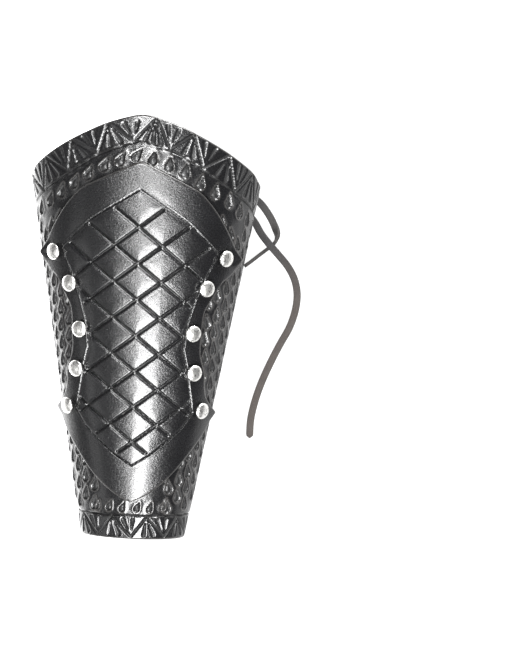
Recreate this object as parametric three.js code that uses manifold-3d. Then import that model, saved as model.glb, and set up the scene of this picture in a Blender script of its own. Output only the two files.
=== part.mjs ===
// Laced leather arm guard for archery. Millimetres, +X across the arm, +Y from wrist to elbow, +Z up.
// The guard lies on its laced back, so the lacing strands under the back touch z = 0.
// A place on the leather is given by two lengths: across, along the girth from the crown line,
// and along, from the wrist end towards the elbow.
import * as THREE from "three";
import { mergeVertices } from "three/addons/utils/BufferGeometryUtils.js";
import Module from "manifold-3d";

const wasm = await Module();
wasm.setup();

// Leather sleeve
const sleeveLength = 231;
const sleeveWall = 2.8;
const wristBow = 0.8;
const elbowDrop = 34;
const wristHalfWidth = 29.1;
const elbowHalfWidth = 69.6;
const wristRise = 25;
const elbowRise = 48;
const wristBelly = 19;
const elbowBelly = 30;
const wristFlat = 17;
const elbowFlat = 27;
const wristGap = 8;
const elbowGap = 10;

// Overlay plate
const plateWall = 2.4;
const plateTip = 21.5;
const plateLowerEar = 72;
const plateUpperEar = 157;
const plateApex = 206;
const lowerEarHalfWidth = 51.5;
const upperEarHalfWidth = 59;
const waistInset = 19;
const earLift = 1.2;
const earReach = 7;

// Rivets
const capDiameter = 9;
const capHeight = 2.3;
const capRim = 0.6;
const postDiameter = 3;
const postClearance = 0.4;
const backCapDiameter = 7;
const backCapThickness = 1.2;
const backCapSeat = 0.55;

// Lace and its holes
const laceWidth = 4.2;
const laceThickness = 2;
const laceChamfer = 0.45;
const holeDiameter = 6;
const holePairs = 6;
const holeMargin = 9;
const firstHole = 15;
const lastHole = 187;
const laceEdgeClearance = 1.6;
const laceTail = 1;
const tableClearance = 0.04;

// Gap kept between pieces that touch on the real guard
const contactGap = 0.3;

// How fine the facets are
const sectionSteps = 48;
const sleeveColumns = 40;
const sleeveRows = 10;
const plateColumns = 26;
const plateRows = 18;
const rivetSides = 10;
const holeSides = 12;
const postHoleSides = 8;
const crossingSteps = 11;
const turnSteps = 6;
const cordStep = 8;

// Elbow edge: shares of the half girth against shares of elbowDrop
const elbowEdge = [
  { across: 0, drop: 0 },
  { across: 0.036, drop: 0.03 },
  { across: 0.12, drop: 0.147 },
  { across: 0.19, drop: 0.28 },
  { across: 0.3, drop: 0.5 },
  { across: 0.365, drop: 0.632 },
  { across: 0.446, drop: 0.78 },
  { across: 0.5, drop: 0.89 },
  { across: 0.61, drop: 0.97 },
  { across: 1, drop: 1 },
];

// Plate sides between the lower and the upper ears: shares of waistInset
const plateWaist = [
  { along: 0, inset: 0 },
  { along: 0.106, inset: 0.56 },
  { along: 0.253, inset: 0.73 },
  { along: 0.376, inset: 0.96 },
  { along: 0.494, inset: 1 },
  { along: 0.647, inset: 1 },
  { along: 0.735, inset: 0.8 },
  { along: 0.841, inset: 0.52 },
  { along: 0.912, inset: 0.13 },
  { along: 1, inset: 0 },
];

// Plate ends: shares of the ear's half width against shares of the point's reach beyond the ears
const plateUpperEnd = [
  { across: 0, reach: 1 },
  { across: 0.19, reach: 0.9 },
  { across: 0.417, reach: 0.775 },
  { across: 0.55, reach: 0.694 },
  { across: 0.683, reach: 0.54 },
  { across: 0.8, reach: 0.367 },
  { across: 0.95, reach: 0.11 },
  { across: 1, reach: 0 },
];
const plateLowerEnd = [
  { across: 0, reach: 1 },
  { across: 0.12, reach: 0.94 },
  { across: 0.26, reach: 0.84 },
  { across: 0.417, reach: 0.693 },
  { across: 0.667, reach: 0.406 },
  { across: 0.833, reach: 0.218 },
  { across: 1, reach: 0 },
];

// Rivets down each side of the plate, in shares of the plate's width and length, elbow end first
const rivetRows = [
  { across: 0.88, along: 0.892 },
  { across: 0.88, along: 0.73 },
  { across: 0.823, along: 0.49 },
  { across: 0.82, along: 0.3 },
  { across: 0.875, along: 0.093 },
];

// Loose lace ends on the table, from the hole outwards: x, y, z of the middle of the lace
const longEndRoute = [
  [-14.5, 71.5, 1], [-5, 71.1, 1], [6, 68.3, 1], [17, 65.7, 1], [30, 65.7, 1],
  [42, 68.9, 1], [51, 70.7, 1.04], [57.5, 69.1, 1.2], [61.3, 65.1, 1.85], [65.2, 58.8, 3.5],
  [70.1, 52.8, 5.5], [75.6, 47, 4.4], [81.6, 40.3, 2.2], [85.7, 33, 1.3], [87.5, 25, 1.05],
  [87, 16.3, 1.01], [84.1, 6, 1], [78.7, -4.8, 1], [73.5, -16.1, 1], [69.1, -27.2, 1],
  [65.9, -37.8, 1], [63.9, -48.6, 1], [63.7, -59.1, 1],
];
const shortEndRoute = [
  [22.7, 71.5, 1], [30.5, 72.7, 1], [39, 76.3, 1], [47.5, 80.1, 1], [56, 80.9, 1],
  [63.4, 76.9, 1], [68.1, 71.5, 1], [71.2, 66.7, 1], [73.6, 61.7, 1], [74.6, 58.4, 1],
  [74.1, 55.4, 1], [72.1, 52.5, 1], [68.5, 49.5, 1], [64, 45.8, 1], [60.1, 42.5, 1], [56.4, 39.6, 1],
];

const leatherColour = 0x1b1b1d;
const nickelColour = 0xc9cacb;
const laceColour = 0x4a4642;
const toolLeather = new THREE.MeshStandardMaterial({ color: leatherColour, roughness: 0.36, metalness: 0 });
const nickel = new THREE.MeshStandardMaterial({ color: nickelColour, roughness: 0.2, metalness: 1 });
const laceLeather = new THREE.MeshStandardMaterial({ color: laceColour, roughness: 0.7, metalness: 0 });

const lerp = THREE.MathUtils.lerp;
const clamp = THREE.MathUtils.clamp;
const smooth = (share) => THREE.MathUtils.smoothstep(share, 0, 1);

// Smooth curve through the rows of a table, read at one place of its first column.
function readTable(rows, place, result, at) {
  const last = rows.length - 1;
  const x = clamp(at, rows[0][place], rows[last][place]);
  let k = 0;
  while (k < last - 1 && rows[k + 1][place] < x) k++;
  const slope = (i, j) => (rows[j][result] - rows[i][result]) / (rows[j][place] - rows[i][place]);
  const span = rows[k + 1][place] - rows[k][place];
  const t = (x - rows[k][place]) / span;
  const before = slope(Math.max(k - 1, 0), k + 1) * span;
  const after = slope(k, Math.min(k + 2, last)) * span;
  const h01 = t * t * (3 - 2 * t);
  const h10 = t * (1 - t) * (1 - t);
  const h11 = t * t * (t - 1);
  return lerp(rows[k][result], rows[k + 1][result], h01) + h10 * before + h11 * after;
}

// The sizes of the sleeve's section at a place along the arm.
function formAt(along) {
  const share = along / sleeveLength;
  return {
    halfWidth: lerp(wristHalfWidth, elbowHalfWidth, share),
    rise: lerp(wristRise, elbowRise, share),
    belly: lerp(wristBelly, elbowBelly, share),
    flat: lerp(wristFlat, elbowFlat, share),
    gap: lerp(wristGap, elbowGap, share),
  };
}

// Half of the outer section, from the crown to the middle of the back: half an ellipse over the
// widest level, a tighter quarter ellipse under it, then the flat back. Each row has the place,
// the outward direction and the length along the girth.
function sectionAt(along) {
  const form = formAt(along);
  const rows = [];
  const add = (x, z, nx, nz) => {
    const previous = rows[rows.length - 1];
    const step = previous ? Math.hypot(x - previous.x, z - previous.z) : 0;
    const size = Math.hypot(nx, nz);
    rows.push({ x, z, nx: nx / size, nz: nz / size, girth: (previous ? previous.girth : 0) + step });
  };
  for (let i = 0; i <= sectionSteps; i++) {
    const turn = (i / sectionSteps) * (Math.PI / 2);
    const [s, c] = [Math.sin(turn), Math.cos(turn)];
    add(form.halfWidth * s, form.belly + form.rise * c, s / form.halfWidth, c / form.rise);
  }
  const shoulder = form.halfWidth - form.flat;
  for (let i = 1; i <= sectionSteps; i++) {
    const turn = (i / sectionSteps) * (Math.PI / 2);
    const [s, c] = [Math.sin(turn), Math.cos(turn)];
    add(form.flat + shoulder * c, form.belly * (1 - s), c / shoulder, -s / form.belly);
  }
  add(0, 0, 0, -1);
  return rows;
}

function halfGirth(along) {
  const rows = sectionAt(along);
  return rows[rows.length - 1].girth - formAt(along).gap;
}

// Lowest level of the sleeve: the lace under it lies on the table.
const sleeveLift = laceThickness + contactGap + 0.05;

// A point that stands a given distance out of the sleeve's outer face.
function wallPoint(across, along, out) {
  const rows = sectionAt(along);
  const reach = Math.abs(across);
  let k = 0;
  while (k < rows.length - 2 && rows[k + 1].girth < reach) k++;
  const share = (reach - rows[k].girth) / (rows[k + 1].girth - rows[k].girth);
  const mix = (name) => lerp(rows[k][name], rows[k + 1][name], share);
  const x = mix("x") + out * mix("nx");
  const z = mix("z") + out * mix("nz") + sleeveLift;
  return new THREE.Vector3(Math.sign(across) * x, along - sleeveLength / 2, z);
}

function outwardAt(across, along) {
  const step = 0.5;
  const sideways = wallPoint(across + step, along, 0).sub(wallPoint(across - step, along, 0));
  const upwards = wallPoint(across, along + step, 0).sub(wallPoint(across, along - step, 0));
  return sideways.cross(upwards).normalize();
}

// Closed sheet over a grid of shares: across from -1 to 1, along from 0 to 1. The function place
// gives the point on the inner face for side 0 and on the outer face for side 1.
function sheetGeometry(place, columns, rows) {
  const points = [];
  for (const side of [0, 1]) {
    for (let j = 0; j <= rows; j++) {
      for (let i = 0; i <= columns; i++) points.push(place((2 * i) / columns - 1, j / rows, side));
    }
  }
  const at = (i, j, side) => (side * (rows + 1) + j) * (columns + 1) + i;
  const faces = [];
  const quad = (a, b, c, d) => faces.push(a, b, c, a, c, d);
  for (let j = 0; j < rows; j++) {
    for (let i = 0; i < columns; i++) {
      quad(at(i, j, 1), at(i + 1, j, 1), at(i + 1, j + 1, 1), at(i, j + 1, 1));
      quad(at(i, j, 0), at(i, j + 1, 0), at(i + 1, j + 1, 0), at(i + 1, j, 0));
    }
  }
  for (let i = 0; i < columns; i++) {
    quad(at(i, 0, 0), at(i + 1, 0, 0), at(i + 1, 0, 1), at(i, 0, 1));
    quad(at(i, rows, 0), at(i, rows, 1), at(i + 1, rows, 1), at(i + 1, rows, 0));
  }
  for (let j = 0; j < rows; j++) {
    quad(at(0, j, 0), at(0, j, 1), at(0, j + 1, 1), at(0, j + 1, 0));
    quad(at(columns, j, 0), at(columns, j + 1, 0), at(columns, j + 1, 1), at(columns, j, 1));
  }
  return new THREE.BufferGeometry().setFromPoints(points).setIndex(faces);
}

function toSolid(geometry) {
  const bare = geometry.clone();
  bare.deleteAttribute("normal");
  bare.deleteAttribute("uv");
  const merged = mergeVertices(bare, 1e-4);
  const vertProperties = new Float32Array(merged.attributes.position.array);
  const triVerts = new Uint32Array(merged.index.array);
  return new wasm.Manifold(new wasm.Mesh({ numProp: 3, vertProperties, triVerts }));
}

function toGeometry(solid) {
  const mesh = solid.getMesh();
  const geometry = new THREE.BufferGeometry();
  geometry.setAttribute("position", new THREE.BufferAttribute(mesh.vertProperties, 3));
  geometry.setIndex(new THREE.BufferAttribute(mesh.triVerts, 1));
  return geometry;
}

// Cuts round holes, each given by its middle, direction, diameter, length and number of sides.
function drill(geometry, holes) {
  let solid = toSolid(geometry);
  const up = new THREE.Vector3(0, 1, 0);
  for (const hole of holes) {
    const radius = hole.diameter / 2;
    const pin = new THREE.CylinderGeometry(radius, radius, hole.length, hole.sides);
    const turn = new THREE.Quaternion().setFromUnitVectors(up, hole.direction);
    pin.applyQuaternion(turn).translate(hole.middle.x, hole.middle.y, hole.middle.z);
    solid = solid.subtract(toSolid(pin));
  }
  return toGeometry(solid);
}

// Overlay plate: where a share of its width and length lies on the sleeve.
function platePlace(across, along) {
  const width = lerp(lowerEarHalfWidth, upperEarHalfWidth, along);
  const inset = waistInset * readTable(plateWaist, "along", "inset", along);
  const side = Math.abs(across);
  const upper = (plateApex - plateUpperEar) * readTable(plateUpperEnd, "across", "reach", side);
  const lower = (plateLowerEar - plateTip) * readTable(plateLowerEnd, "across", "reach", side);
  return {
    across: across * (width - inset),
    along: lerp(plateLowerEar - lower, plateUpperEar + upper, along),
  };
}

// The tips of the four ears stand a little off the sleeve, clear of the rivets.
function earRise(place) {
  const rise = (halfWidth, level) => {
    const distance = Math.hypot(Math.abs(place.across) - halfWidth, place.along - level);
    return earLift * smooth(1 - distance / earReach);
  };
  return rise(lowerEarHalfWidth, plateLowerEar) + rise(upperEarHalfWidth, plateUpperEar);
}

function platePoint(across, along, side) {
  const place = platePlace(across, along);
  const out = contactGap + earRise(place) + side * plateWall;
  return wallPoint(place.across, place.along, out);
}

function sleevePoint(across, along, side) {
  const lowerEdge = wristBow * Math.cos((across * Math.PI) / 2) ** 2;
  const drop = elbowDrop * readTable(elbowEdge, "across", "drop", Math.abs(across));
  const length = lerp(lowerEdge, sleeveLength - drop, along);
  return wallPoint(across * halfGirth(length), length, (side - 1) * sleeveWall);
}

// Rivet seats: the middle of the cap's underside and the direction out of the leather.
function rivetSeats() {
  const seats = [];
  for (const [name, hand] of [["left", -1], ["right", 1]]) {
    rivetRows.forEach((row, index) => {
      const place = platePlace(hand * row.across, row.along);
      const direction = outwardAt(place.across, place.along);
      const middle = wallPoint(place.across, place.along, contactGap + plateWall);
      seats.push({ name: `rivet_${name}_${index + 1}`, middle, direction });
    });
  }
  return seats;
}

const seats = rivetSeats();
const stackThickness = plateWall + contactGap + sleeveWall;
const rivetHoles = seats.map((seat) => ({
  middle: seat.middle.clone().addScaledVector(seat.direction, -stackThickness / 2),
  direction: seat.direction,
  diameter: postDiameter + 2 * postClearance,
  length: 2 * stackThickness,
  sides: postHoleSides,
}));

// Domed cap on a post through both layers, with a flat cap against the inner face.
function rivetGeometry() {
  const cap = capDiameter / 2;
  const post = postDiameter / 2;
  const back = backCapDiameter / 2;
  const inner = -stackThickness - backCapSeat;
  const profile = [
    [0, inner - backCapThickness], [back, inner - backCapThickness], [back, inner],
    [post, inner], [post, contactGap], [cap, contactGap],
  ];
  const domeSteps = 3;
  for (let i = 0; i <= domeSteps; i++) {
    const turn = (i / domeSteps) * (Math.PI / 2);
    const dome = (capHeight - capRim) * Math.sin(turn);
    profile.push([i === domeSteps ? 0 : cap * Math.cos(turn), contactGap + capRim + dome]);
  }
  const points = profile.map(([r, h]) => new THREE.Vector2(r, h));
  return new THREE.LatheGeometry(points, rivetSides);
}

// Lace holes in pairs along the two edges of the back.
const holeAlong = (pair) => lerp(firstHole, lastHole, pair / (holePairs - 1));
const holeAcross = (pair) => formAt(holeAlong(pair)).gap + holeMargin;
const holeY = (pair) => holeAlong(pair) - sleeveLength / 2;
const outsideLevel = laceThickness / 2;
const insideLevel = sleeveLift + sleeveWall + contactGap + laceThickness / 2;
const turnRadius = (insideLevel - outsideLevel) / 2;

function laceHoles() {
  const holes = [];
  for (let pair = 0; pair < holePairs; pair++) {
    for (const hand of [-1, 1]) {
      const z = sleeveLift + sleeveWall / 2;
      holes.push({
        middle: new THREE.Vector3(hand * holeAcross(pair), holeY(pair), z),
        direction: new THREE.Vector3(0, 0, 1),
        diameter: holeDiameter,
        length: 4 * sleeveWall,
        sides: holeSides,
      });
    }
  }
  return holes;
}

// The lace stays level across its width: its side always lies in the plane of the table.
const alongArm = new THREE.Vector3(0, 1, 0);
const station = (x, y, z, side = alongArm) => ({ at: new THREE.Vector3(x, y, z), side });

// Through a hole from inside to outside: back towards the gap, or on away from it.
function laceTurn(pair, hand, onwards) {
  const stations = [];
  const middle = (insideLevel + outsideLevel) / 2;
  for (let i = 0; i <= turnSteps; i++) {
    const turn = (i / turnSteps) * Math.PI;
    const beyond = onwards && turn > Math.PI / 2;
    const centre = holeAcross(pair) + (beyond ? turnRadius : -turnRadius);
    const swing = beyond ? -turnRadius * Math.sin(turn) : turnRadius * Math.sin(turn);
    stations.push(station(hand * (centre + swing), holeY(pair), middle + turnRadius * Math.cos(turn)));
  }
  return stations;
}

// From outside one edge, up through the gap, to inside the other edge at the next pair of holes.
// One lace climbs early and the other late, so that one passes over the other in the middle.
function laceCrossing(pair, hand, early) {
  const start = hand * (holeAcross(pair) - turnRadius);
  const end = -hand * (holeAcross(pair + 1) - turnRadius);
  const open = formAt((holeAlong(pair) + holeAlong(pair + 1)) / 2).gap - laceEdgeClearance;
  const lateness = 1.8;
  const place = (share) => {
    const x = lerp(start, end, share);
    const climb = clamp((open - hand * x) / (2 * open), 0, 1);
    const risen = early ? 1 - smooth((1 - climb) ** lateness) : smooth(climb ** lateness);
    const y = lerp(holeY(pair), holeY(pair + 1), smooth(share));
    return new THREE.Vector3(x, y, lerp(outsideLevel, insideLevel, risen));
  };
  const stations = [];
  for (let i = 1; i < crossingSteps; i++) {
    const at = place(i / crossingSteps);
    const ahead = place((i + 0.5) / crossingSteps).sub(place((i - 0.5) / crossingSteps));
    const side = new THREE.Vector3(-ahead.y, ahead.x, 0).multiplyScalar(Math.sign(ahead.x)).normalize();
    stations.push({ at, side });
  }
  return stations;
}

// Half of the lace, from the middle of the bar inside the wrist end up to the last holes.
function laceStrand(firstHand, early, onwards) {
  const stations = [station(0, holeY(0), insideLevel), ...laceTurn(0, firstHand, false)];
  let hand = firstHand;
  for (let pair = 0; pair < holePairs - 1; pair++) {
    stations.push(...laceCrossing(pair, hand, early));
    hand = -hand;
    const isLast = pair === holePairs - 2;
    stations.push(...laceTurn(pair + 1, hand, isLast && onwards));
  }
  const tip = stations[stations.length - 1].at;
  const heading = onwards ? hand : -hand;
  stations.push(station(tip.x + heading * laceTail, tip.y, tip.z));
  return stations;
}

// Corners of the lace's section, as shares along its side and its height.
function laceSection() {
  const [w, h, c] = [laceWidth / 2, laceThickness / 2, laceChamfer];
  return [
    [w, -h + c], [w, h - c], [w - c, h], [-w + c, h],
    [-w, h - c], [-w, -h + c], [-w + c, -h], [w - c, -h],
  ];
}

// Sweeps the lace's section along stations that each give a place and a side direction.
function laceGeometry(stations) {
  const section = laceSection();
  const count = section.length;
  const points = [];
  stations.forEach(({ at, side }, k) => {
    const before = stations[Math.max(k - 1, 0)].at;
    const after = stations[Math.min(k + 1, stations.length - 1)].at;
    const ahead = after.clone().sub(before).normalize();
    const up = ahead.clone().cross(side).normalize();
    for (const [a, b] of section) points.push(at.clone().addScaledVector(side, a).addScaledVector(up, b));
  });
  const faces = [];
  for (let k = 0; k + 1 < stations.length; k++) {
    for (let i = 0; i < count; i++) {
      const j = (i + 1) % count;
      const [a, b, c, d] = [k * count + i, k * count + j, (k + 1) * count + j, (k + 1) * count + i];
      faces.push(a, b, c, a, c, d);
    }
  }
  const end = (stations.length - 1) * count;
  for (let i = 1; i + 1 < count; i++) {
    faces.push(0, i + 1, i);
    faces.push(end, end + i, end + i + 1);
  }
  return new THREE.BufferGeometry().setFromPoints(points).setIndex(faces);
}

function backLacing() {
  const longSide = laceStrand(1, true, false);
  const shortSide = laceStrand(-1, false, true);
  return laceGeometry([...longSide.reverse(), ...shortSide.slice(1)]);
}

// A loose end lies flat on the table along its route.
function looseEnd(route) {
  const points = route.map(([x, y, z]) => new THREE.Vector3(x, y, z + tableClearance));
  const curve = new THREE.CatmullRomCurve3(points, false, "centripetal");
  const outline = laceSection().map(([w, h]) => new THREE.Vector2(-h, w));
  const shape = new THREE.Shape(outline);
  const steps = Math.round(curve.getLength() / cordStep);
  return new THREE.ExtrudeGeometry(shape, { steps, extrudePath: curve });
}

function addPiece(parent, name, geometry, material) {
  const mesh = new THREE.Mesh(geometry, material);
  mesh.name = name;
  parent.add(mesh);
  return mesh;
}

const guard = new THREE.Group();
guard.name = "arm_guard";

const sleeveSheet = sheetGeometry(sleevePoint, sleeveColumns, sleeveRows);
addPiece(guard, "leather_sleeve", drill(sleeveSheet, [...laceHoles(), ...rivetHoles]), toolLeather);

const plateSheet = sheetGeometry(platePoint, plateColumns, plateRows);
addPiece(guard, "overlay_plate", drill(plateSheet, rivetHoles), toolLeather);

for (const seat of seats) {
  const rivet = addPiece(guard, seat.name, rivetGeometry(), nickel);
  rivet.position.copy(seat.middle);
  rivet.quaternion.setFromUnitVectors(new THREE.Vector3(0, 1, 0), seat.direction);
}

addPiece(guard, "back_lacing", backLacing(), laceLeather);
addPiece(guard, "lace_end_long", looseEnd(longEndRoute), laceLeather);
addPiece(guard, "lace_end_short", looseEnd(shortEndRoute), laceLeather);

export default guard;
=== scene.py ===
"""Laced leather arm guard for archery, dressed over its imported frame.

Lengths inside the functions are millimetres unless a name says metres. A place on the leather is
given flat, as it was cut: across, along the girth from the crown line, and along, from the wrist.
"""

import math

import bpy
import numpy as np
from mathutils import Matrix, Vector


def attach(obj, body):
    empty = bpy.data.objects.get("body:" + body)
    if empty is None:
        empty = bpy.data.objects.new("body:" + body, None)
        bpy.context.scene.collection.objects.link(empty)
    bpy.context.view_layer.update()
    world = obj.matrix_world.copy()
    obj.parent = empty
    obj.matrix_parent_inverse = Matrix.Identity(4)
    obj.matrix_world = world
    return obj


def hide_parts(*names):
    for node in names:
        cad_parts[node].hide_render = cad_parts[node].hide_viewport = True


bl_info = {
    "name": "Archery arm guard",
    "version": (1, 0, 0),
    "blender": (4, 5, 0),
    "location": "View3D > Sidebar > Arm guard",
    "description": "Builds a laced leather arm guard with a tooled sleeve and a riveted lattice plate",
    "category": "Object",
}

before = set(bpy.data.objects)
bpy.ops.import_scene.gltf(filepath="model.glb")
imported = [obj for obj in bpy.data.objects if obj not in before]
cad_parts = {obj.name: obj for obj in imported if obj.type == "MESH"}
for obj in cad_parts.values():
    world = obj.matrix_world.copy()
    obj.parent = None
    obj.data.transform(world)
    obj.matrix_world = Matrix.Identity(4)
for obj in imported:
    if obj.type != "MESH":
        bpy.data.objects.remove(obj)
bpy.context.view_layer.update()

MM = 0.001

# Form of the sleeve at its two ends, wrist first
SLEEVE_LENGTH = 231.0
ELBOW_DROP = 34.0
WRIST_BOW = 0.8
LEAST_LEVEL = 2.35
ENDS = {
    "half_width": (29.1, 69.6),
    "rise": (25.0, 48.0),
    "belly": (19.0, 30.0),
    "flat": (17.0, 27.0),
    "gap": (8.0, 10.0),
}
CONTACT_GAP = 0.3

# The form is measured at each millimetre of this range, from crown to back in equal steps of girth
FORM_LEVELS = (-8, 245)
QUARTER_POINTS = 241
GIRTH_STEPS = 600

# Elbow edge: shares of the half girth against shares of the drop
ELBOW_EDGE = (
    (0, 0), (0.036, 0.03), (0.12, 0.147), (0.19, 0.28), (0.3, 0.5),
    (0.365, 0.632), (0.446, 0.78), (0.5, 0.89), (0.61, 0.97), (1, 1),
)

# Plate: levels of its points and ears, half widths at the ears, and its outline in shares
PLATE_TIP = 21.5
PLATE_LOWER_EAR = 72.0
PLATE_UPPER_EAR = 157.0
PLATE_APEX = 206.0
LOWER_EAR_WIDTH = 51.5
UPPER_EAR_WIDTH = 59.0
WAIST_INSET = 19.0
LOWER_EAR_LIFT = 1.2
UPPER_EAR_LIFT = 2.8
EAR_REACH = 7.0
PLATE_WAIST = (
    (0, 0), (0.106, 0.56), (0.253, 0.73), (0.376, 0.96), (0.494, 1),
    (0.647, 1), (0.735, 0.8), (0.841, 0.52), (0.912, 0.13), (1, 0),
)
PLATE_UPPER_END = (
    (0, 1), (0.19, 0.9), (0.417, 0.775), (0.55, 0.694),
    (0.683, 0.54), (0.8, 0.367), (0.95, 0.11), (1, 0),
)
PLATE_LOWER_END = (
    (0, 1), (0.12, 0.94), (0.26, 0.84), (0.417, 0.693),
    (0.667, 0.406), (0.833, 0.218), (1, 0),
)

# Rivets down each side of the plate, elbow end first: shares of its width and length
RIVET_ROWS = ((0.88, 0.892), (0.88, 0.73), (0.823, 0.49), (0.82, 0.3), (0.875, 0.093))
POST_HOLE = 3.8

# Lace holes along both edges of the back
HOLE_PAIRS = 6
FIRST_HOLE = 15.0
LAST_HOLE = 187.0
HOLE_MARGIN = 9.0
LACE_HOLE = 6.0

# Routes of the loose ends on the table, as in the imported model, in metres
LONG_END_ROUTE = (
    (-0.0145, 0.0715, 0.00104), (-0.005, 0.0711, 0.00104), (0.006, 0.0683, 0.00104),
    (0.017, 0.0657, 0.00104), (0.03, 0.0657, 0.00104), (0.042, 0.0689, 0.00104),
    (0.051, 0.0707, 0.00108), (0.0575, 0.0691, 0.00124), (0.0613, 0.0651, 0.00189),
    (0.0652, 0.0588, 0.00354), (0.0701, 0.0528, 0.00554), (0.0756, 0.047, 0.00444),
    (0.0816, 0.0403, 0.00224), (0.0857, 0.033, 0.00134), (0.0875, 0.025, 0.00109),
    (0.087, 0.0163, 0.00105), (0.0841, 0.006, 0.00104), (0.0787, -0.0048, 0.00104),
    (0.0735, -0.0161, 0.00104), (0.0691, -0.0272, 0.00104), (0.0659, -0.0378, 0.00104),
    (0.0639, -0.0486, 0.00104), (0.0637, -0.0591, 0.00104),
)
SHORT_END_ROUTE = (
    (0.0227, 0.0715, 0.00104), (0.0305, 0.0727, 0.00104), (0.039, 0.0763, 0.00104),
    (0.0475, 0.0801, 0.00104), (0.056, 0.0809, 0.00104), (0.0634, 0.0769, 0.00104),
    (0.0681, 0.0715, 0.00104), (0.0712, 0.0667, 0.00104), (0.0736, 0.0617, 0.00104),
    (0.0746, 0.0584, 0.00104), (0.0741, 0.0554, 0.00104), (0.0721, 0.0525, 0.00104),
    (0.0685, 0.0495, 0.00104), (0.064, 0.0458, 0.00104), (0.0601, 0.0425, 0.00104),
    (0.0564, 0.0396, 0.00104),
)


# Small helpers
def lerp(low, high, share):
    return low + (high - low) * share


def smooth(share):
    """Eased share, level at both ends."""
    share = np.clip(share, 0, 1)
    return share * share * (3 - 2 * share)


def read_table(rows, at):
    """Smooth curve through the rows of a table."""
    x, y = np.array(rows, float).T
    at = np.clip(np.asarray(at, float), x[0], x[-1])
    k = np.searchsorted(x[1:-1], at, side="left")
    before = np.maximum(k - 1, 0)
    after = np.minimum(k + 2, len(x) - 1)
    span = x[k + 1] - x[k]
    t = (at - x[k]) / span
    start = (y[k + 1] - y[before]) / (x[k + 1] - x[before]) * span
    end = (y[after] - y[k]) / (x[after] - x[k]) * span
    rise = t * t * (3 - 2 * t)
    return y[k] + (y[k + 1] - y[k]) * rise + t * (1 - t) ** 2 * start + t * t * (t - 1) * end


def form_at(name, along):
    """A measure of the form between its two ends."""
    low, high = ENDS[name]
    return lerp(low, high, np.asarray(along, float) / SLEEVE_LENGTH)


def measure_sections():
    """Half sections of the outer face every millimetre along, each cut into equal lengths of girth."""
    along = np.arange(*FORM_LEVELS, 1.0)
    turn = np.linspace(0, math.pi / 2, QUARTER_POINTS)
    s, c = np.sin(turn), np.cos(turn)
    rows = []
    for place in along:
        width, rise, belly, flat = (form_at(n, place) for n in ("half_width", "rise", "belly", "flat"))
        side = width - flat
        x = np.concatenate([width * s, flat + side * c[1:], [0]])
        z = np.concatenate([belly + rise * c, belly * (1 - s[1:]), [0]])
        nx = np.concatenate([s / width, c[1:] / side, [0]])
        nz = np.concatenate([c / rise, -s[1:] / belly, [-1]])
        size = np.hypot(nx, nz)
        girth = np.concatenate([[0], np.cumsum(np.hypot(np.diff(x), np.diff(z)))])
        even = np.linspace(0, girth[-1], GIRTH_STEPS + 1)
        read = [np.interp(even, girth, values) for values in (x, z, nx / size, nz / size)]
        rows.append(read + [np.full(len(even), girth[-1])])
    return along, np.array(rows)


ALONG, SECTIONS = measure_sections()


def whole_girth(along):
    return np.interp(along, ALONG, SECTIONS[:, 4, 0])


def half_girth(along):
    return whole_girth(along) - form_at("gap", along)


def wall_point(across, along, out):
    """Points that stand a given distance out of the sleeve's outer face."""
    across, along, out = np.broadcast_arrays(*(np.asarray(a, float) for a in (across, along, out)))
    level = np.clip(along - ALONG[0], 0, len(ALONG) - 1.001)
    j = level.astype(int)
    share = np.clip(np.abs(across) / whole_girth(along), 0, 1) * GIRTH_STEPS
    i = np.minimum(share.astype(int), GIRTH_STEPS - 1)

    def read(k):
        low = lerp(SECTIONS[j, k, i], SECTIONS[j, k, i + 1], share - i)
        high = lerp(SECTIONS[j + 1, k, i], SECTIONS[j + 1, k, i + 1], share - i)
        return lerp(low, high, level - j)

    x = np.sign(across) * (read(0) + out * read(2))
    return np.stack([x, along - SLEEVE_LENGTH / 2, read(1) + out * read(3) + LEAST_LEVEL], -1)


def outward_at(across, along):
    """Unit normal of the sleeve's outer face."""
    sideways = wall_point(across + 0.5, along, 0) - wall_point(across - 0.5, along, 0)
    upwards = wall_point(across, along + 0.5, 0) - wall_point(across, along - 0.5, 0)
    normal = np.cross(sideways, upwards)
    return normal / np.linalg.norm(normal, axis=-1, keepdims=True)


def elbow_line(across):
    """Level of the elbow edge at a distance from the crown line, found in a few rounds."""
    first_guess, rounds = 220.0, 6
    level = np.full(np.shape(across), first_guess)
    for _ in range(rounds):
        level = SLEEVE_LENGTH - ELBOW_DROP * read_table(ELBOW_EDGE, np.abs(across) / half_girth(level))
    return level


def sleeve_place(across, along):
    """Where shares of the sleeve's half girth and length lie on the flat hide."""
    lower = WRIST_BOW * np.cos(across * math.pi / 2) ** 2
    upper = SLEEVE_LENGTH - ELBOW_DROP * read_table(ELBOW_EDGE, np.abs(across))
    level = lerp(lower, upper, along)
    return across * half_girth(level), level


def plate_place(across, along):
    """Where shares of the plate's half width and length lie on the flat hide."""
    width = lerp(LOWER_EAR_WIDTH, UPPER_EAR_WIDTH, along) - WAIST_INSET * read_table(PLATE_WAIST, along)
    side = np.abs(across)
    upper = (PLATE_APEX - PLATE_UPPER_EAR) * read_table(PLATE_UPPER_END, side)
    lower = (PLATE_LOWER_EAR - PLATE_TIP) * read_table(PLATE_LOWER_END, side)
    return across * width, lerp(PLATE_LOWER_EAR - lower, PLATE_UPPER_EAR + upper, along)


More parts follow.
